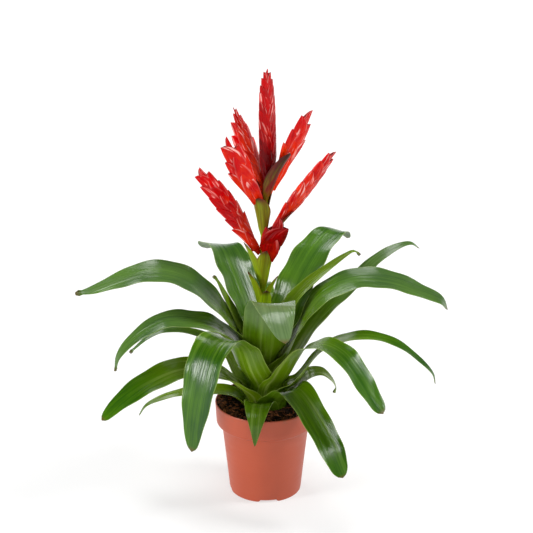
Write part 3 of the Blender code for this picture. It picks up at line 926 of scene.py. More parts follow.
def skin(rings: np.ndarray, ends: np.ndarray | None = None) -> Surface:
    """Closes a row of rings to a skin, with a point or a flat face at each end.

    Args:
        rings: the points, as rings by sides.
        ends: the first and the last point, or nothing for flat faces.

    Returns:
        The closed surface.
    """
    count, sides = rings.shape[:2]
    points = rings.reshape(-1, 3)
    number = np.arange(count * sides).reshape(count, sides)
    around = np.roll(number, -1, axis=1)
    quads = np.stack([number[:-1], around[:-1], around[1:], number[1:]], axis=-1).reshape(-1, 4)
    if ends is None:
        return Surface(points, [quads, np.array([number[0], number[-1][::-1]])]).outward()
    first = np.full(sides, len(points))
    low = np.stack([first, around[0], number[0]], axis=-1)
    high = np.stack([first + 1, number[-1], around[-1]], axis=-1)
    return Surface(np.concatenate([points, ends]), [quads, low, high]).outward()


def circle(sides: int) -> np.ndarray:
    """Gives the corners of a level circle of radius 1."""
    turns = 2 * pi * np.arange(sides) / sides
    return np.stack([np.cos(turns), np.sin(turns), 0 * turns], axis=-1)


def turned(profile: np.ndarray, sides: int) -> Surface:
    """Turns a profile of (radius, height), which starts and ends on the axis, round Z."""
    places = circle(sides) * profile[:, None, 0:1] + UPRIGHT * profile[:, None, 1:2]
    return skin(places[1:-1], places[[0, -1], 0])


def tube(path: np.ndarray, radii: np.ndarray, sides: int) -> Surface:
    """Carries a level circle of the given radii along a path, with a point at each end."""
    return skin(path[:, None] + circle(sides) * radii[:, None, None], path[[0, -1]])


@dataclass(frozen=True)
class Leaf:
    """One strap leaf: where it leaves the rosette, and the route of its midrib.

    Azimuth is in degrees from +X. Taper grows for a blunter leaf. Roll turns
    the upper face about the midrib. Drift bends the leaf aside. Route holds
    (reach, height) points past the sheath. Wave is the ripple of its margins.
    Pale is how light its root is, sheen how much painted sheen, a pale wash
    standing for reflected light, lies on its far half, and flare how much its
    dried end spreads.
    """

    name: str
    azimuth: float
    width: float
    tip: float
    taper: float
    roll: float
    drift: float
    route: tuple[Pair, ...]
    wave: float = 0.8
    pale: float = 0.95
    sheen: float = 0.0
    flare: float = 0.0


LEAVES = (
    Leaf("right_slip", 18, 23, 2, 1.6, 15, 0,
         ((13, 206), (32, 238), (50, 256), (74, 273), (95, 286), (109, 292), (117, 286)),
         0.3, 1.7, 0.0, 5.0),
    Leaf("back_left_erect", 122, 58, 24, 4.5, 14, 0,
         ((16, 196), (40, 230), (63, 256), (87, 279), (113, 279), (136, 266)), 1.8, 0.2, 0.1),
    Leaf("back_right_erect", 47, 54, 12, 3.4, 0, 0,
         ((21, 190), (39, 219), (57, 252), (84, 281), (113, 297), (134, 295), (147, 282)),
         1.6, 0.3, 0.1),
    Leaf("front_curl", 271, 56, 8, 3.4, 0, 19,
         ((26, 190), (45, 220), (59, 249), (77, 269), (104, 276), (127, 265), (141, 249)),
         1.8, 0.7, 0.7),
    Leaf("left_slip", 163, 20, 3, 1.8, -8, 0,
         ((20, 190), (31, 211), (40, 227), (50, 245), (58, 260), (64, 266)), 0.3, 1.7,
         0.0, 5.0),
    Leaf("behind_upper", 93, 32, 5, 2.0, 0, 0,
         ((25, 185), (46, 216), (76, 231), (107, 223), (131, 199))),
    Leaf("right_high_arch", 2, 39, 9, 3.4, 18, 0,
         ((29, 181), (41, 212), (61, 243), (87, 261), (116, 269), (151, 264), (181, 252),
          (205, 241), (214, 228)), 0.8, 0.95, 0.25),
    Leaf("left_high_arch", 190, 44, 3, 2.5, -20, 0,
         ((25, 186), (44, 222), (71, 258), (100, 280), (134, 287), (169, 279), (197, 270),
          (219, 266)), 0.8, 0.95, 0.28, 6.0),
    Leaf("right_back", 25, 23, 3, 1.8, 22, 0,
         ((40, 172), (62, 202), (88, 226), (116, 246), (142, 268), (168, 281), (192, 285),
          (206, 276)), 0.8, 0.95, 0.4),
    Leaf("left_mid", 200, 38, 3, 1.6, -16, 0,
         ((30, 188), (61, 219), (92, 231), (118, 235), (142, 228), (164, 214), (178, 198),
          (182, 181)), 0.8, 0.95, 0.25, 4.0),
    Leaf("left_thin", 184, 16, 4, 1.6, -10, 0,
         ((34, 178), (78, 203), (115, 209), (137, 200), (151, 189), (159, 181)), 0.4,
         0.95, 0.1, 5.0),
    Leaf("front_left_hanging", 233, 50, 10, 3.0, 0, 0,
         ((34, 165), (51, 201), (78, 221), (102, 214), (117, 190), (127, 160), (134, 130),
          (138, 103)), 1.0, 0.6),
    Leaf("front_right_arch", 322, 38, 20, 3.6, 0, 0,
         ((31, 154), (51, 190), (79, 208), (107, 206), (129, 190), (148, 168), (168, 147)),
         0.9, 0.7),
    Leaf("right_thin", 350, 20, 3, 1.6, 12, 0,
         ((38, 142), (59, 175), (77, 193), (108, 206), (136, 206), (159, 198), (180, 183),
          (197, 166), (201, 152)), 0.5, 0.8),
    Leaf("behind_right", 80, 38, 5, 2.0, 0, 0,
         ((36, 147), (64, 176), (98, 183), (128, 166), (146, 139))),
    Leaf("behind_left", 124, 38, 5, 2.0, 0, 0,
         ((39, 136), (72, 162), (110, 166), (140, 148), (158, 122))),
    Leaf("left_low_broad", 203, 35, 9, 3.0, -22, 0,
         ((37, 140), (57, 157), (100, 174), (143, 165), (178, 147), (203, 127))),
    Leaf("right_low_curl", 2, 18, 2, 1.6, 10, 0,
         ((36, 132), (50, 147), (66, 151), (78, 142), (84, 131), (82, 123)), 0.3, 0.95,
         0.2, 5.0),
    Leaf("front_right_hanging", 308, 38, 17, 3.8, 0, 0,
         ((38, 134), (52, 146), (74, 138), (98, 120), (121, 99), (143, 71)), 0.8, 0.3),
    Leaf("left_low_narrow", 186, 16, 2, 1.6, -12, 0,
         ((38, 123), (54, 129), (80, 131), (104, 129), (126, 123), (142, 115), (151, 102)),
         0.3),
    Leaf("front_small", 261, 23, 2, 1.4, 0, 0,
         ((38, 126), (51, 133), (62, 129), (69, 117), (73, 105), (77, 92)), 0.4, 0.3),
    Leaf("behind_low", 100, 26, 4, 1.8, 0, 0,
         ((42, 127), (78, 138), (112, 128), (136, 103))),
)


@dataclass
class Rosette:
    """The leaves, each in a sheath a layer further out than the one before.

    Each band is a start and the length or share over which something sets in.
    Rounding holds how many tip widths long the rounded end is, and a base.
    Torn holds the length over which a dried end spreads, and how much of its
    spread the very end keeps. Ripple turns shift the ripple from leaf to leaf
    and across a leaf.
    """

    leaves: tuple[Leaf, ...] = LEAVES
    inner: float = 7.4
    pitch: float = 1.0
    foot: float = 88.3
    thickness: float = 0.75
    edge_thickness: float = 0.4
    sheath_width: float = 62.0
    sheath_span: float = radians(205.0)
    free_height: float = 108.0
    free_rise: float = 2.7
    free_drop: float = 14.0
    root_extra: float = 22.0
    channel: float = 1.15
    widening: float = 95.0
    roll_band: Pair = (0.2, 0.4)
    flattening: float = 1.0
    flat_band: Pair = (0.3, 0.35)
    taper_start: float = 0.5
    rounding: Pair = (0.55, 2.5)
    least_width: float = 0.7
    dried: float = 9.0
    torn: Pair = (1.5, 0.4)
    ripples: float = 38.0
    ripple_turns: Pair = (1.7, 1.3)
    curl: float = 0.35
    curl_turns: float = 5.0
    pale_band: Pair = (55.0, 160.0)
    pale_surplus: float = 1.1
    sheen_band: Pair = (0.5, 0.16)
    pattern_step: float = 7.3
    rows: int = 84
    columns: int = 17

    def radius(self) -> float:
        """Gives the radius of the soil's pocket, just outside the outermost sheath."""
        return self.inner + self.pitch * (len(self.leaves) - 1) + self.thickness / 2 + CLEAR

    def widths(self, leaf: Leaf, lengths: np.ndarray, free: float) -> np.ndarray:
        """Gives a blade's width along it.

        It goes from the sheath's width to the leaf's own, tapers over its far
        part and spreads where its end has dried. The last few millimetres are
        rounded off as sqrt(1 - t^2).

        Args:
            leaf: the leaf.
            lengths: the length along it at each place.
            free: the length of its sheath.

        Returns:
            The widths.
        """
        root_width = min(self.sheath_width, leaf.width + self.root_extra)
        body = root_width + (leaf.width - root_width) * ramp(lengths, 0.0, free + self.widening)
        share = np.clip((lengths / lengths[-1] - self.taper_start) / (1 - self.taper_start), 0, 1)
        widths = leaf.tip + (body - leaf.tip) * (1.0 - share**leaf.taper)
        left = lengths[-1] - lengths
        tear, least = self.torn
        spread = leaf.flare * ease(1.0 - left / self.dried)
        widths = widths + spread * np.minimum(1.0, left / tear + least)
        slope, base = self.rounding
        rounding = 1.0 if leaf.flare > 0.0 else slope * leaf.tip + base
        return widths * np.sqrt(1.0 - np.clip(1.0 - left / rounding, 0.0, 1.0) ** 2)

    def ripple(
        self, leaf: Leaf, layer: int, lengths: np.ndarray, across: np.ndarray, free: float
    ) -> np.ndarray:
        """Gives how far the margins of a blade ripple off it, and its dried end curls.

        The ripple is a wave along the leaf that grows as across squared. The
        curl is a wave across it in its last few millimetres.

        Args:
            leaf: the leaf.
            layer: its place in the rosette, which shifts the waves.
            lengths: the length along it at each row.
            across: the place across it, from -1 to 1, of each column.
            free: the length of its sheath.

        Returns:
            The ripple and the curl, both as rows by columns.
        """
        step, lag = self.ripple_turns
        phase = 2.0 * pi * lengths[:, None] / self.ripples + step * layer + lag * across
        ripple = leaf.wave * np.sin(phase) * across**2
        dried = ease(1.0 - (lengths[-1] - lengths) / self.dried)
        curl = self.curl * leaf.flare * dried[:, None] * np.sin(self.curl_turns * across + layer)
        return ripple * ramp(lengths, free, self.widening)[:, None], curl

    def blade(self, leaf: Leaf, layer: int) -> Surface:
        """Bends a strap along its route.

        The midrib runs up the sheath and along the route. Across it the blade
        is an arc whose radius grows from the sheath's to a few widths, and more
        where the blade flattens towards its end. It drifts aside as share^4 and
        thins to its margins as across^4.

        Args:
            leaf: the leaf.
            layer: its place in the rosette, counted outwards.

        Returns:
            The closed blade.
        """
        sheath = self.inner + self.pitch * layer
        top = self.free_height + self.free_rise * (len(self.leaves) - 1 - layer)
        top = min(top, leaf.route[0][1] - self.free_drop)
        free = top - self.foot
        flat = smooth_route([(sheath, self.foot), (sheath, top), *leaf.route], self.rows)
        lengths = measured(flat)
        share = lengths / lengths[-1]
        reach = np.where(lengths < free, sheath, flat[:, 0])
        angle = radians(leaf.azimuth)
        middles, normals = standing(angle, reach, flat[:, 1])
        _, aside = heading(angle)
        middles = middles + (leaf.drift * share**4)[:, None] * aside
        roll = radians(leaf.roll) * ramp(share, *self.roll_band)
        cosine, sine = np.cos(roll)[:, None], np.sin(roll)[:, None]
        sides = aside * cosine + normals * sine
        normals = normals * cosine - aside * sine

        radii = np.clip(reach, sheath, max(sheath, self.channel * leaf.width))
        radii = radii * (1.0 + self.flattening * ramp(share, *self.flat_band))
        widths = self.widths(leaf, lengths, free)
        widths = np.clip(widths, self.least_width, self.sheath_span * radii)
        across, grid = arched(middles, sides, normals, radii, widths, self.columns)
        ripple, curl = self.ripple(leaf, layer, lengths, across, free)
        ripple = ripple * np.minimum(1.0, widths / leaf.width)[:, None] + curl
        grid = grid + ripple[..., None] * normals[:, None]

        faded = leaf.pale * (1.0 - ramp(lengths, *self.pale_band))
        pattern = self.pattern_step * layer
        # sheen is how much painted sheen, standing for reflected light, the leaf's finish lays on
        # its far half.
        values = {
            "lie": (across * widths[:, None] / 2, lengths[:, None], pattern),
            "along": share[:, None],
            "across": across,
            "pale": np.maximum(faded, leaf.pale - self.pale_surplus)[:, None],
            "sheen": leaf.sheen * ramp(share, *self.sheen_band)[:, None],
        }
        wall = self.thickness + (self.edge_thickness - self.thickness) * across**4
        return shell(grid, wall, values).outward()

    def build(self, finish: bpy.types.Material) -> None:
        """Makes every leaf as a piece of its own.

        Args:
            finish: the leaves' material.
        """
        for layer, leaf in enumerate(self.leaves):
            surface = self.blade(leaf, layer)
            publish("blade_" + leaf.name, surface, finish, "leaf_" + leaf.name)


@dataclass(frozen=True)
class StalkBract:
    """One sheathing bract of the stalk.

    Foot is the height where it starts, azimuth is in degrees from +X, flare is
    how far its tip stands off and channel the largest radius of its arc. Blush
    is how red it is, and drift how far its tip bends aside.
    """

    foot: float
    azimuth: float
    width: float
    length: float
    flare: float
    channel: float = 9.0
    blush: float = 0.0
    drift: float = 0.0


@dataclass
class Stalk:
    """The upright stalk, sheathed in pointed bracts.

    Route holds the places of its middle. Lift is how far a bract stands off the
    stalk, over a first share of its length. Neck holds the share of its width
    that a bract has at its foot, and the share of its length where it is widest.
    """

    route: tuple[Triple, ...] = (
        (0, 0, 104.3),
        (-1, 0, 180),
        (-3, 0, 240),
        (-3, 0, 290),
        (-2, 0, 330),
        (0, 0, 362),
        (3.5, 0, 389),
    )
    bracts: tuple[StalkBract, ...] = (
        StalkBract(205, 80, 20, 40, 9),
        StalkBract(212, 285, 22, 48, 9),
        StalkBract(226, 208, 22, 56, 15, 9.0, 0.1),
        StalkBract(236, 338, 19, 40, 14, 9.0, 0.1),
        StalkBract(256, 290, 30, 54, 11, 10.5, 0.25),
        StalkBract(258, 200, 26, 58, 17, 10.0, 0.15, -4.0),
        StalkBract(304, -10, 20, 50, 31, 9.0, 0.6),
        StalkBract(320, 250, 32, 52, 10, 11.0, 0.4),
        StalkBract(348, 60, 24, 50, 12, 10.0, 0.9),
        StalkBract(350, 160, 26, 44, 8, 10.0, 0.95),
        StalkBract(362, 297, 23, 64, 25, 9.0, 1.0, 16.0),
    )
    radius_low: float = 4.4
    radius_high: float = 2.6
    rows: int = 60
    sides: int = 20
    pattern_middle: float = -1.5
    pattern_radius: float = 4.0
    blush: float = 0.4
    blush_band: Pair = (260.0, 100.0)
    wall: float = 0.7
    thinning: float = 0.4
    tip_width: float = 0.8
    span: float = radians(200.0)
    lift: float = 1.8
    lift_over: float = 0.25
    neck: Pair = (0.5, 0.55)
    bract_rows: int = 22
    bract_columns: int = 11
    pattern_step: float = 5.1

    def middle(self, height: float) -> np.ndarray:
        """Gives the stalk's middle at a height."""
        route = np.asarray(self.route, dtype=float)
        return np.array([np.interp(height, route[:, 2], route[:, axis]) for axis in range(3)])

    def radius(self, height: np.ndarray | float) -> np.ndarray | float:
        """Gives the stalk's radius, which narrows evenly upwards.

        Args:
            height: one height or many.

        Returns:
            The radius at each of them.
        """
        low, high = self.route[0][2], self.route[-1][2]
        share = np.clip((height - low) / (high - low), 0.0, 1.0)
        return self.radius_low + (self.radius_high - self.radius_low) * share

    def bract(self, bract: StalkBract, index: int) -> Surface:
        """Bends one bract off the stalk.

        Its midline leaves the stalk by flare times share^1.4, and across it the
        bract is an arc as wide as its width times the root of 1 - share^2.6,
        narrower where it sheathes the stalk. Its tip drifts aside as share^2.

        Args:
            bract: the bract.
            index: its place on the stalk, which shifts its pattern.

        Returns:
            The closed bract.
        """
        share = np.linspace(0.0, 1.0, self.bract_rows)
        heights = bract.foot + bract.length * share
        start = self.radius(bract.foot) - self.wall
        reach = start + self.lift * ramp(share, 0.0, self.lift_over) + bract.flare * share**1.4
        angle = radians(bract.azimuth)
        middles, normals = standing(angle, reach, heights)
        _, aside = heading(angle)
        middles = middles + self.middle(bract.foot) * (1, 1, 0)
        middles = middles + (bract.drift * share**2)[:, None] * aside
        radii = np.clip(reach, start, bract.channel)
        neck, over = self.neck
        body = bract.width * (neck + (1.0 - neck) * ramp(share, 0.0, over))
        widths = self.tip_width + (body - self.tip_width) * np.sqrt(1.0 - share**2.6)
        widths = np.minimum(widths, self.span * radii)
        columns = self.bract_columns
        across, grid = arched(middles, aside[None], normals, radii, widths, columns)
        pattern = index * self.pattern_step
        values = {
            "lie": (across * widths[:, None] / 2, heights[:, None], pattern),
            "along": share[:, None],
            "across": across,
            "blush": bract.blush,
        }
        wall = self.wall * (1.0 - self.thinning * across**4)
        return shell(grid, wall, values).outward()

    def build(self, finish: bpy.types.Material) -> None:
        """Makes the stalk and its bracts as one piece.

        Args:
            finish: the stalk's material.
        """
        path = smooth_route(self.route, self.rows)
        body = tube(path, self.radius(path[:, 2]), self.sides)
        x, y, z = body.points.T
        turns = np.arctan2(y, x - self.pattern_middle)
        body.values["lie"] = np.stack([turns * self.pattern_radius, z, 0.0 * z], -1)
        body.mark(along=0.0, across=0.0, blush=self.blush * ramp(z, *self.blush_band))
        bracts = [self.bract(bract, index) for index, bract in enumerate(self.bracts, 1)]
        publish("scape", join([body, *bracts]), finish, "flower_stalk")


@dataclass(frozen=True)
class Spike:
    """One flat spike: lean is from upright towards its azimuth, turn is about its axis.

    Step is the length between bracts. Blunt and root are the shares of the
    body's width at its top and foot, and thick scales its thickness. Close is
    the power with which a bract's margins draw in: higher makes rounder bracts.
    Nest is how much smaller the last bract is than the first ones. Peak is the
    share of the length where the body is widest. Wrap is how far the margins
    reach past the axis, and splay how far the lowest tips stand off. Tone
    darkens the red, glow turns it to orange and shadow darkens the foot.
    """

    name: str
    foot: float
    azimuth: float
    lean: float
    length: float
    bare: float
    turn: float
    size: float
    bow: float = 0.0
    step: float = 6.0
    bract_length: float = 40.0
    blunt: float = 0.34
    tone: float = 0.0
    glow: float = 0.0
    root: float = 0.3
    thick: float = 1.0
    close: float = 1.75
    nest: float = 0.8
    peak: float = 0.42
    wrap: float = 3.2
    splay: float = 0.0
    shadow: float = 0.0


SPIKES = (
    Spike("top", 390, 180, 1, 127, -12, 42, 0.98, step=5.2, bract_length=42, blunt=0.9, tone=0.1,
          glow=-0.35, root=0.6, shadow=0.9, peak=0.3),
    Spike("upper_left", 380, 163, 21, 98, 0, 52, 0.88, step=5.8, blunt=0.5, glow=0.1, root=0.5,
          shadow=0.35),
    Spike("upper_right", 374, -8, 24, 108, 4, 36, 1.0, step=12.0, bract_length=58, blunt=0.62,
          tone=-0.15, glow=0.15, root=0.36, thick=0.7, peak=0.6, wrap=7.0, splay=4.0, close=2.8,
          nest=0.45),
    Spike("front_left", 356, 220, 30, 107, 0, 30, 1.0, step=12.0, bract_length=64, blunt=0.85,
          tone=-0.1, root=0.5, thick=0.7, peak=0.62, wrap=9.0, splay=3.0, close=2.8, nest=0.7),
    Spike("behind_left", 368, 136, 27, 97, 4, 10, 1.0, step=9.0, blunt=0.8, tone=0.1, glow=-0.1,
          root=0.4, peak=0.6, close=2.4),
    Spike("low_left", 300, 184, 34, 124, 0, 36, 1.02, -5, step=8.0, bract_length=46, blunt=0.95,
          glow=0.0, root=0.42, peak=0.68, splay=4.0, wrap=5.0, close=2.4, nest=0.6),
    Spike("low_right", 322, -4, 36, 127, 4, 46, 1.0, step=8.0, bract_length=46, blunt=0.85,
          glow=0.12, root=0.5, peak=0.55, splay=4.0, close=2.4, nest=0.6),
    Spike("front_low", 297, 300, 33, 70, 0, -18, 1.06, step=15.0, bract_length=50, blunt=0.7,
          tone=0.56, glow=-0.25, root=0.8, thick=0.7, close=3.4, nest=0.5, peak=0.5, wrap=11.0,
          splay=1.0),
)


@dataclass
class FlowerHead:
    """The flat spikes, each two ranks of keeled bracts on a thin axis.

    The uneven fields say how much a bract's random differences change it. Rise
    holds how far out the keel starts, how much an eased rise over a share of
    the bract adds, and how much an even one. Puff says the same of the
    thickness. Beak is how far the tip bends back in. Swell and pleat are waves
    in a bract's side, and sway one in its rank, each with its size and turns.
    """

    stalk: Stalk
    spikes: tuple[Spike, ...] = SPIKES
    keel: float = 13.4
    half_thickness: float = 6.4
    axis_radius: float = 1.5
    axis_share: float = 0.8
    axis_rows: int = 8
    axis_sides: int = 10
    wall: float = 0.5
    thinning: float = 0.4
    shortening: float = 0.28
    crowding: float = 1.3
    row_crowding: float = 0.9
    rise: tuple[float, float, float, float] = (0.22, 0.56, 0.32, 0.22)
    puff: tuple[float, float, float, float] = (0.3, 0.45, 0.35, 0.25)
    beak: float = 0.10
    margin_start: float = 0.2
    most_wrap: float = 0.9
    closing: float = 1.2
    least_puff: float = 0.002
    swell: Pair = (0.3, 8.0)
    pleat: Pair = (0.2, 11.0)
    relief_over: float = 0.4
    sway: Pair = (0.35, 2.5)
    uneven_length: float = 0.05
    uneven_start: float = 0.8
    uneven_beak: float = 0.03
    uneven_close: float = 0.2
    uneven_tone: float = 0.12
    uneven_glow: float = 0.15
    pattern_width: float = 14.0
    pattern_step: float = 3.7
    rows: int = 26
    columns: int = 17
    seed: int = 5

    def foot(self, spike: Spike) -> np.ndarray:
        """Gives the middle of the spike's foot, a small gap clear of the stalk.

        Args:
            spike: the spike.

        Returns:
            Its place, on the stalk's line where the spike starts above it.
        """
        middle = self.stalk.middle(spike.foot)
        if spike.foot > self.stalk.route[-1][2]:
            return middle * (1, 1, 0) + spike.foot * UPRIGHT
        reach = self.stalk.radius(spike.foot) + self.axis_radius + CLEAR
        return middle + reach * heading(radians(spike.azimuth))[0]

    def place(self, spike: Spike, local: np.ndarray) -> np.ndarray:
        """Moves points from the spike's axes (rank, face, length) to the plant.

        Args:
            spike: the spike.
            local: points whose last axis is along the spike.

        Returns:
            The points on the plant, bowed outwards at the spike's middle.
        """
        lean, turn = radians(spike.lean), radians(spike.turn)
        outward, _ = heading(radians(spike.azimuth))
        along = sin(lean) * outward + cos(lean) * UPRIGHT
        level = unit(SIDEWAYS - along[0] * along)
        across = cos(turn) * level + sin(turn) * np.cross(along, level)
        share = np.clip(local[..., 2:3] / spike.length, 0.0, 1.0)
        bowed = spike.bow * 4.0 * share * (1.0 - share)
        placed = local @ np.array([across, np.cross(along, across), along])
        return self.foot(spike) + placed + bowed * outward

    def body(self, spike: Spike, z: np.ndarray) -> np.ndarray:
        """Gives how wide the spike's lens-shaped body is, as a share of its widest.

        Args:
            spike: the spike.
            z: lengths along it.

        Returns:
            An eased rise from root to 1 at the peak, and a fall to blunt as t^2.
        """
        share = (z - spike.bare) / (spike.length - spike.bare)
        swell = spike.root + (1.0 - spike.root) * ease(share / spike.peak)
        past = np.clip((share - spike.peak) / (1.0 - spike.peak), 0.0, 1.0)
        return swell * (1.0 - (1.0 - spike.blunt) * past**2)

    def bract(
        self, spike: Spike, index: int, count: int, random: np.random.Generator
    ) -> Surface:
        """Folds one bract round the axis like the hull of a boat.

        With v along the bract and s across it, from one margin (-1) over the
        keel (0) to the other (1), x = keel - (keel - inner) |s|^1.3 and
        y = half sin(0.6 pi |s|^0.85). The keel follows the spike's body and
        gets further out along the bract, so each bract lies over the feet of
        the ones above. The margins close up to the keel as 1 - (1 - v^close)^0.6,
        and the thickness closes as (1 - v^4.5)^0.6.

        Args:
            spike: the spike.
            index: the bract's place, counted from the foot.
            count: how many bracts the spike has.
            random: the source of the small differences.

        Returns:
            The closed bract.
        """
        side = 1 if index % 2 else -1
        climb = index / (count - 1)
        jitter = random.uniform(-1.0, 1.0, 6)
        length = spike.bract_length * (1.0 - self.shortening * climb)
        length = length * (1.0 + self.uneven_length * jitter[0])
        first, last = spike.bare, spike.length - length
        start = first + (last - first) * (1.0 - (1.0 - climb) ** self.crowding)
        start = start + self.uneven_start * jitter[1] * (0 < index < count - 1)
        v = np.linspace(0.0, 1.0, self.rows) ** self.row_crowding
        s = np.linspace(-1.0, 1.0, self.columns)
        z = start + length * v
        fold = np.abs(s)
        body = spike.size * self.body(spike, z)
        nest = 1.0 - spike.nest * climb**6

        base, gain, over, even = self.rise
        beak = self.beak + self.uneven_beak * jitter[2]
        out = base + gain * ramp(v, 0.0, over) + even * v - beak * v**6
        keel = self.keel * body * out * nest + spike.splay * (1.0 - climb) ** 3 * v**2.5
        close = spike.close + self.uneven_close * jitter[3] + self.closing * climb**4
        share = np.clip((v - self.margin_start) / (1.0 - self.margin_start), 0.0, 1.0)
        share = 1.0 - (1.0 - share**close) ** 0.6
        reach = np.minimum(spike.wrap * spike.size, self.most_wrap * self.keel * body * nest)
        inner = (keel + reach) * share - reach
        x = keel[:, None] - (keel - inner)[:, None] * fold**1.3
        size, waves = self.sway
        x = x + size * jitter[5] * np.sin(waves * v)[:, None] * fold

        base, gain, over, even = self.puff
        half = self.half_thickness * spike.thick * nest * body
        half = half * (base + gain * ramp(v, 0.0, over) + even * v)
        half = half * np.clip(1.0 - v**4.5, self.least_puff, 1.0) ** 0.6
        y = half[:, None] * np.sin(0.6 * pi * fold**0.85) * np.sign(s)
        size, waves = self.swell
        swell = size * np.sin(v * waves + jitter[4] * 3.0)[:, None] * fold**2
        size, waves = self.pleat
        pleat = size * np.sin(waves * s + 4.0 * jitter[3]) * np.sin(pi * v)[:, None]
        y = y + (swell + pleat) * (ramp(v, 0.0, self.relief_over) * (1.0 - v**3))[:, None]

        grid = self.place(spike, np.stack([side * x, y, z[:, None] + 0.0 * x], axis=-1))
        # Painted shadow: the tone darkens a spike's lowest bracts, shade painted at its foot.
        shadow = spike.shadow * (1.0 - climb) ** 1.5
        pattern = index * self.pattern_step + spike.foot
        values = {
            "lie": (self.pattern_width * s, z[:, None], pattern),
            "along": v[:, None],
            "across": s,
            "height": climb,
            "tone": spike.tone + self.uneven_tone * jitter[4] + shadow,
            "glow": spike.glow + self.uneven_glow * jitter[5],
        }
        wall = self.wall * (1.0 - self.thinning * fold**4)
        return shell(grid, wall, values).outward()

    def spike(self, spike: Spike, random: np.random.Generator) -> Surface:
        """Joins the axis and the two ranks of bracts of one spike.

        Args:
            spike: the spike.
            random: the source of the bracts' small differences.

        Returns:
            The joined surface.
        """
        run = spike.length - spike.bare - spike.bract_length * (1.0 - self.shortening)
        count = int(round(run / spike.step)) + 1
        top = self.axis_share * spike.length
        local = np.linspace(0.0, top, self.axis_rows)[:, None] * UPRIGHT
        axis = tube(local, np.full(self.axis_rows, self.axis_radius), self.axis_sides)
        axis.points = self.place(spike, axis.points)
        axis.values["lie"] = axis.points.copy()
        axis.mark(along=0.0, across=0.5, height=0.0, tone=spike.tone, glow=spike.glow)
        bracts = [self.bract(spike, index, count, random) for index in range(count)]
        return join([axis.outward(), *bracts])

    def build(self, finish: bpy.types.Material) -> None:
        """Makes every spike as a piece of its own.

        Args:
            finish: the bracts' material.
        """
        random = np.random.default_rng(self.seed)
        for spike in self.spikes:
            surface = self.spike(spike, random)
            name = "flower_" + spike.name
            publish(name, surface, finish, "spike_" + spike.name)


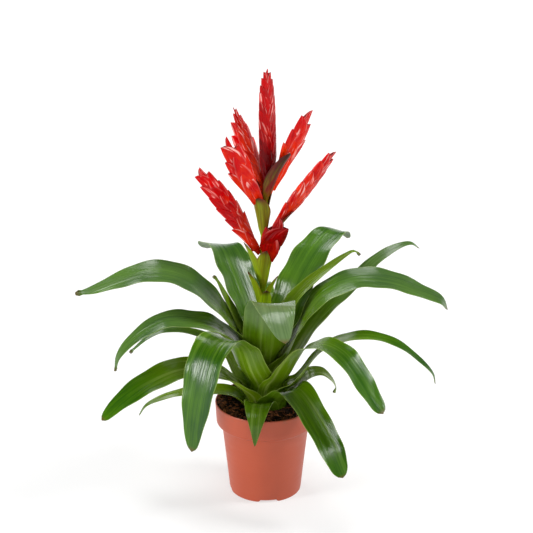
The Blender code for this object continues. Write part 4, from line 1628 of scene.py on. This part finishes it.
@dataclass
class Pot:
    """The tapered pot with its deep rim band, foot ring, notches and drain holes.

    Belly and band hold (radius, height) places on the tapered wall and (amount
    past the band's radius, height) places on the rim band.
    """

    rim_radius: float = 60.0
    height: float = 115.0
    band_radius: float = 58.6
    band_foot: float = 90.0
    band: tuple[Pair, ...] = ((0.35, 97.0), (0.85, 106.0), (1.25, 112.6))
    body_radius: float = 52.0
    body_top: float = 84.5
    belly: tuple[Pair, ...] = ((46.0, 30.0), (49.5, 62.0))
    foot_radius: float = 43.0
    foot_width: float = 4.5
    wall: float = 1.8
    floor: float = 4.0
    lip: float = 0.8
    sides: int = 144
    notches: int = 4
    notch_width: float = 22.0
    notch_height: float = 3.0
    notch_turn: float = radians(5.0)
    notch_ease: float = 2.0
    drains: int = 6
    drain_radius: float = 4.5
    drain_circle: float = 25.0
    drain_sides: int = 32
    crease: float = radians(35.0)

    def inside(self, offset: float) -> list[Pair]:
        """Gives the inner wall from the rim down, moved inwards by offset.

        Args:
            offset: how far it is moved.

        Returns:
            Its (radius, height) corners.
        """
        in_by = self.wall + offset
        return [
            (self.rim_radius - in_by, self.height - self.lip),
            (self.band_radius - in_by, self.band_foot + self.wall),
            (self.body_radius - in_by, self.body_top + self.wall / 2),
            (self.foot_radius - in_by, self.floor + in_by),
        ]

    def profile(self) -> np.ndarray:
        """Gives the turned outline, from the floor's underside round to its inside.

        The small numbers round off the corners that the pot's sizes give.

        Returns:
            Its (radius, height) corners.
        """
        lip = self.lip
        ring = self.foot_radius - self.foot_width
        mouth = self.rim_radius - self.wall
        corners = [
            (0, self.floor),
            (ring - 1, self.floor),
            (ring, 0.3),
            (ring + 0.4, 0),
            (self.foot_radius - lip, 0),
            (self.foot_radius - 0.2, 0.25),
            (self.foot_radius, lip),
            (self.foot_radius + 0.15, 1.6),
            (self.foot_radius + lip / 2, self.floor),
            *self.belly,
            (self.body_radius, self.body_top),
            (self.body_radius + 0.6, self.body_top + 1.2),
            (self.band_radius - 1.6, self.band_foot - 1.3),
            (self.band_radius - 0.5, self.band_foot - 0.6),
            (self.band_radius, self.band_foot + lip / 2),
            *[(self.band_radius + past, height) for past, height in self.band],
            (self.rim_radius, self.height - 1.2),
            (self.rim_radius - 0.15, self.height - 0.4),
            (self.rim_radius - 0.55, self.height),
            (mouth + 0.35, self.height),
            (mouth + 0.05, self.height - 0.35),
            *self.inside(0.0),
            (0, self.floor + self.wall),
        ]
        return np.array(corners, dtype=float)

    def notch(self, points: np.ndarray) -> None:
        """Lifts the foot ring at its notches, with eased ends.

        Args:
            points: the pot's points, which are changed.
        """
        angle = np.arctan2(points[:, 1], points[:, 0]) - self.notch_turn
        quarter = 2 * pi / self.notches
        off = np.abs((angle + quarter / 2) % quarter - quarter / 2) * self.foot_radius
        edge = (self.notch_width - self.notch_ease) / 2
        share = 1.0 - ramp(off, edge, self.notch_ease)
        raised = np.maximum(points[:, 2], self.notch_height * share)
        low = points[:, 2] < self.notch_height
        points[:, 2] = np.where(low, raised, points[:, 2])

    def drain(self, index: int) -> bpy.types.Object:
        """Makes one round bar that goes through the floor.

        Args:
            index: the drain hole's number round the floor.

        Returns:
            The bar.
        """
        outward, _ = heading(2 * pi * (index + 0.5) / self.drains)
        middle = outward * self.drain_circle + (self.floor + 1) * UPRIGHT
        shape = bmesh.new()
        bmesh.ops.create_cone(
            shape,
            cap_ends=True,
            segments=self.drain_sides,
            radius1=self.drain_radius * MM,
            radius2=self.drain_radius * MM,
            depth=4 * self.wall * MM,
            matrix=Matrix.Translation(middle * MM),
        )
        mesh = bpy.data.meshes.new(f"drain_{index}")
        shape.to_mesh(mesh)
        shape.free()
        return bpy.data.objects.new(mesh.name, mesh)

    def build(self, finish: bpy.types.Material) -> None:
        """Turns the pot, notches its foot and drills its floor.

        Args:
            finish: the pot's material.
        """
        surface = turned(self.profile(), self.sides)
        self.notch(surface.points)
        pot = publish("nursery_pot", surface, finish, "pot")
        bars = bpy.data.collections.new("drains")
        bpy.context.scene.collection.children.link(bars)
        for index in range(self.drains):
            bars.objects.link(self.drain(index))
        boolean = pot.modifiers.new("drill", "BOOLEAN")
        boolean.operation = "DIFFERENCE"
        boolean.solver = "EXACT"
        boolean.operand_type = "COLLECTION"
        boolean.collection = bars
        graph = bpy.context.evaluated_depsgraph_get()
        mesh = bpy.data.meshes.new_from_object(pot.evaluated_get(graph))
        pot.modifiers.clear()
        pot.data = mesh
        for bar in list(bars.objects):
            bpy.data.objects.remove(bar, do_unlink=True)
        bpy.data.collections.remove(bars)
        mesh.shade_smooth()
        mesh.set_sharp_from_angle(angle=self.crease)


@dataclass
class Soil:
    """The peat: a solid block with a lumpy top, and loose crumbs and fibres on it.

    Lumps hold waves as (turns round, waves along the radius, shift). Grain and
    prick are the heights of the fine unevenness. Crumb margins keep the loose
    bits clear of the pocket and of the wall. Fibre lift holds how high a fibre
    lies and how much it arches, fibre radii its ends' and what its middle adds.
    """

    pot: Pot
    rosette: Rosette
    edge_height: float = 112.0
    inner_height: float = 114.0
    heap: float = 4.5
    heap_turn: float = 0.3
    heap_line: Pair = (0.9, 0.62)
    edge_lift: float = 2.3
    lump: float = 1.1
    lumps: tuple[Triple, ...] = ((5, 0.21, 0.0), (9, -0.33, 1.0))
    grain: float = 0.55
    prick: float = 0.3
    pocket_floor: float = 88.0
    sides: int = 160
    rings: int = 26
    crumbs: int = 720
    crumb_size: float = 3.6
    crumb_sizes: Pair = (0.35, 1.0)
    crumb_margins: Pair = (1.5, 2.6)
    stretches: Pair = (0.55, 1.0)
    dent: float = 0.16
    dent_waves: Pair = (1.5, 3.5)
    crumb_tint: float = 0.8
    fibres: int = 230
    fibre_lengths: Pair = (2.5, 6.0)
    fibre_bend: float = 1.6
    fibre_lift: Pair = (0.9, 0.7)
    fibre_radii: Pair = (0.08, 0.34)
    fibre_tints: Pair = (0.35, 1.0)
    fibre_rows: int = 7
    seed: int = 11

    def ends(self) -> Pair:
        """Gives the top's inner and outer radius."""
        return self.rosette.radius(), self.pot.rim_radius - self.pot.wall - CLEAR

    def share(self, radius: np.ndarray) -> np.ndarray:
        """Gives how far across the top a radius is, from the pocket (0) to the wall (1)."""
        inner, outer = self.ends()
        return np.clip((radius - inner) / (outer - inner), 0.0, 1.0)

    def height(self, radius: np.ndarray, angle: np.ndarray) -> np.ndarray:
        """Gives the top's height: a slope to the wall, heaps behind and beside, and lumps.

        Args:
            radius: the places' radii.
            angle: their angles from +X.

        Returns:
            Their heights.
        """
        share = self.share(radius)
        gain, base = self.heap_line
        side = np.clip(base + gain * np.sin(angle - self.heap_turn), 0.0, 1.0)
        heap = self.heap * side * np.sin(pi * share**1.3)
        edge = self.edge_height + self.edge_lift * side
        slope = self.inner_height + (edge - self.inner_height) * share
        lumps = sum(np.sin(turns * angle + along * radius + on) for turns, along, on in self.lumps)
        return slope + heap + self.lump * lumps * np.sin(pi * share)

    def unevenness(self, x: np.ndarray, y: np.ndarray) -> np.ndarray:
        """Gives the fine unevenness of the top as a sum of short bent waves.

        It is grain sin(0.9 x + 1.3 sin 0.5 y) sin(1.1 y + 0.8 sin 0.7 x) with
        prick sin(2.3 x + 1.9 y) sin(2.9 y - 1.7 x) on it.

        Args:
            x: the places' X.
            y: the places' Y.

        Returns:
            How much they rise.
        """
        waves = np.sin(0.9 * x + 1.3 * np.sin(0.5 * y)) * np.sin(1.1 * y + 0.8 * np.sin(0.7 * x))
        fine = np.sin(2.3 * x + 1.9 * y) * np.sin(2.9 * y - 1.7 * x)
        return self.grain * waves + self.prick * fine

    def block(self) -> Surface:
        """Turns the block with its pocket, then shapes its top.

        Returns:
            The closed block.
        """
        inner, outer = self.ends()
        profile = [(0, self.pocket_floor), (inner, self.pocket_floor)]
        profile += [(radius, self.edge_height) for radius in np.linspace(inner, outer, self.rings)]
        profile += self.pot.inside(CLEAR)[1:]
        profile.append((0, self.pot.floor + self.pot.wall + CLEAR))
        block = turned(np.array(profile, dtype=float), self.sides)
        x, y, z = block.points.T
        radius = np.hypot(x, y)
        shaped = self.height(radius, np.arctan2(y, x))
        shaped = shaped + self.unevenness(x, y) * np.sin(pi * self.share(radius)) ** 0.3
        block.points[:, 2] = np.where(np.abs(z - self.edge_height) < CLEAR, shaped, z)
        block.mark(tint=0.0)
        return block

    def scatter(self, random: np.random.Generator, count: int) -> tuple[np.ndarray, np.ndarray]:
        """Draws places on the top, more of them near the wall.

        Args:
            random: the source of the places.
            count: how many to draw.

        Returns:
            The places and their angles.
        """
        near, far = self.crumb_margins
        inner = self.rosette.radius() + near
        outer = self.pot.rim_radius - self.pot.wall - far
        radius = inner + (outer - inner) * random.uniform(0.0, 1.0, count) ** 0.5
        angle = random.uniform(-pi, pi, count)
        height = self.height(radius, angle)
        return np.stack([radius * np.cos(angle), radius * np.sin(angle), height], -1), angle

    def grit(self, random: np.random.Generator) -> Surface:
        """Sets crumbs on the top: one small ball, stretched and dented differently each time.

        Few are large and few are pale: sizes go as a draw^2.4, tints as a draw^3.

        Args:
            random: the source of their places and shapes.

        Returns:
            All the crumbs.
        """
        shape = bmesh.new()
        bmesh.ops.create_icosphere(shape, subdivisions=2, radius=1.0)
        ball = np.array([tuple(vertex.co) for vertex in shape.verts])
        faces = np.array([[vertex.index for vertex in face.verts] for face in shape.faces])
        shape.free()
        places, _ = self.scatter(random, self.crumbs)
        size = random.uniform(*self.crumb_sizes, self.crumbs) ** 2.4 * self.crumb_size
        stretch = random.uniform(*self.stretches, (self.crumbs, 1, 3))
        wave = random.uniform(*self.dent_waves, (self.crumbs, 3, 1))
        dents = np.sin(np.einsum("vk,ckj->cvj", ball, wave) * 2.0 + wave[:, :1])
        crumbs = ball * stretch * (1.0 + self.dent * dents) * size[:, None, None]
        points = (crumbs + places[:, None]).reshape(-1, 3)
        starts = np.arange(self.crumbs)[:, None, None] * len(ball)
        tint = random.uniform(0.0, 1.0, self.crumbs) ** 3 * self.crumb_tint
        made = Surface(points, [(faces + starts).reshape(-1, 3)])
        made.mark(tint=np.repeat(tint, len(ball)))
        return made.outward()

    def threads(self, random: np.random.Generator) -> Surface:
        """Lays thin bent fibres on the top, each a tapered three-sided tube.

        A fibre bends aside as t^2 from its middle and rises and falls as sin 2.2 t.

        Args:
            random: the source of their places and bends.

        Returns:
            All the fibres.
        """
        places, angles = self.scatter(random, self.fibres)
        headings = angles + random.uniform(-pi, pi, self.fibres)
        t = np.linspace(-1.0, 1.0, self.fibre_rows)
        lift, arch = self.fibre_lift
        thin, thick = self.fibre_radii
        radii = thin + thick * (1.0 - t**2)
        triangle = np.array([[0, 0, 1], [0, 0.87, -0.5], [0, -0.87, -0.5]])
        made = []
        for place, angle in zip(places, headings):
            length = random.uniform(*self.fibre_lengths)
            bend = random.uniform(-self.fibre_bend, self.fibre_bend)
            run = np.stack([t * length, bend * t**2, lift + arch * np.sin(2.2 * t + bend)], -1)
            turn = np.array([*heading(angle), UPRIGHT])
            path = run @ turn + place
            fibre = skin(path[:, None] + (triangle @ turn) * radii[:, None, None])
            fibre.mark(tint=random.uniform(*self.fibre_tints))
            made.append(fibre)
        return join(made)

    def build(self, finish: bpy.types.Material) -> None:
        """Makes the peat with what lies on it as one piece.

        Args:
            finish: the soil's material.
        """
        random = np.random.default_rng(self.seed)
        whole = join([self.block(), self.grit(random), self.threads(random)])
        publish("potting_soil", whole, finish, "soil")


@dataclass(frozen=True)
class Lamp:
    """One far soft light: where it shines from, and its spread in degrees."""

    name: str
    towards: Triple
    strength: float
    spread: float
    distance: float = 3.0

    def build(self) -> None:
        """Hangs the light."""
        light = bpy.data.lights.new(self.name, "SUN")
        light.energy = self.strength
        light.angle = radians(self.spread)
        holder = bpy.data.objects.new(self.name, light)
        holder.location = Vector(self.towards).normalized() * self.distance
        holder.rotation_euler = Vector(self.towards).to_track_quat("Z", "Y").to_euler()
        bpy.context.scene.collection.objects.link(holder)


@dataclass
class Studio:
    """The pale floor, the soft lights and the camera, with lengths in metres.

    The sky is as bright as band at the horizon and as ceiling overhead.
    """

    lens: float = 100.0
    sensor: float = 36.0
    pitch: float = radians(20.5)
    distance: float = 1.71
    aim: Triple = (0.0014, 0.0, 0.285)
    floor_size: float = 16.0
    band: float = 1.0
    band_top: float = radians(10.0)
    band_end: float = radians(20.0)
    ceiling: float = 0.12
    lamps: tuple[Lamp, ...] = (
        Lamp("left", (-0.88, -0.36, 0.32), 2.0, 17.0),
        Lamp("right", (0.70, -0.06, 0.72), 1.9, 17.0),
        Lamp("back", (-0.42, 0.76, 0.50), 0.6, 24.0),
        Lamp("front", (0.15, -0.80, 0.60), 0.38, 18.0),
        Lamp("top", (0.0, 0.15, 1.0), 1.5, 26.0),
    )

    def floor(self) -> None:
        """Lays the floor under the pot."""
        half = self.floor_size / 2
        corners = [(-half, -half, 0), (half, -half, 0), (half, half, 0), (-half, half, 0)]
        mesh = bpy.data.meshes.new("floor")
        mesh.from_pydata(corners, [], [(0, 1, 2, 3)])
        mesh.materials.append(FloorFinish().build())
        floor = bpy.data.objects.new("floor", mesh)
        bpy.context.scene.collection.objects.link(floor)
        floor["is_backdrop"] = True

    def sky(self) -> None:
        """Surrounds the plant with a white band at the horizon under a dim ceiling."""
        g = SkyGraph("studio")
        towards = g.node("ShaderNodeTexCoord", output="Generated")
        height = g.node("ShaderNodeSeparateXYZ", None, {0: towards}, "Z")
        strength = height.between(sin(self.band_top), sin(self.band_end), self.band, self.ceiling)
        g.plug(g.shader.inputs["Color"], WHITE)
        g.plug(g.shader.inputs["Strength"], strength)
        bpy.context.scene.world = g.world

    def camera(self) -> None:
        """Sets the camera in front, looking down at the plant."""
        data = bpy.data.cameras.new("camera")
        data.lens = self.lens
        data.sensor_width = self.sensor
        camera = bpy.data.objects.new("camera", data)
        back = Vector((0.0, -cos(self.pitch), sin(self.pitch))) * self.distance
        camera.location = Vector(self.aim) + back
        camera.rotation_euler = (pi / 2 - self.pitch, 0.0, 0.0)
        bpy.context.scene.collection.objects.link(camera)
        bpy.context.scene.camera = camera

    def build(self) -> None:
        """Sets up the whole studio."""
        self.camera()
        self.floor()
        for lamp in self.lamps:
            lamp.build()
        self.sky()
        bpy.context.scene.view_settings.view_transform = "Standard"


def corners() -> list[list[float]]:
    """Gives the shown object's box as plain lists."""
    return [[float(value) for value in corner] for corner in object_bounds()]


def main() -> None:
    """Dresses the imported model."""
    logging.basicConfig(level=logging.INFO, format="%(message)s")
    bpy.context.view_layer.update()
    Studio().build()
    pot, rosette, stalk = Pot(), Rosette(), Stalk()
    pot.build(PotFinish().build())
    Soil(pot, rosette).build(SoilFinish().build())
    rosette.build(LeafFinish().build())
    stalk.build(StalkFinish().build())
    FlowerHead(stalk).build(BractFinish().build())
    stem = frame["nodes"]["short_stem"]
    stem.data.materials.clear()
    stem.data.materials.append(StemFinish().build())


if __name__ == "__main__":
    main()
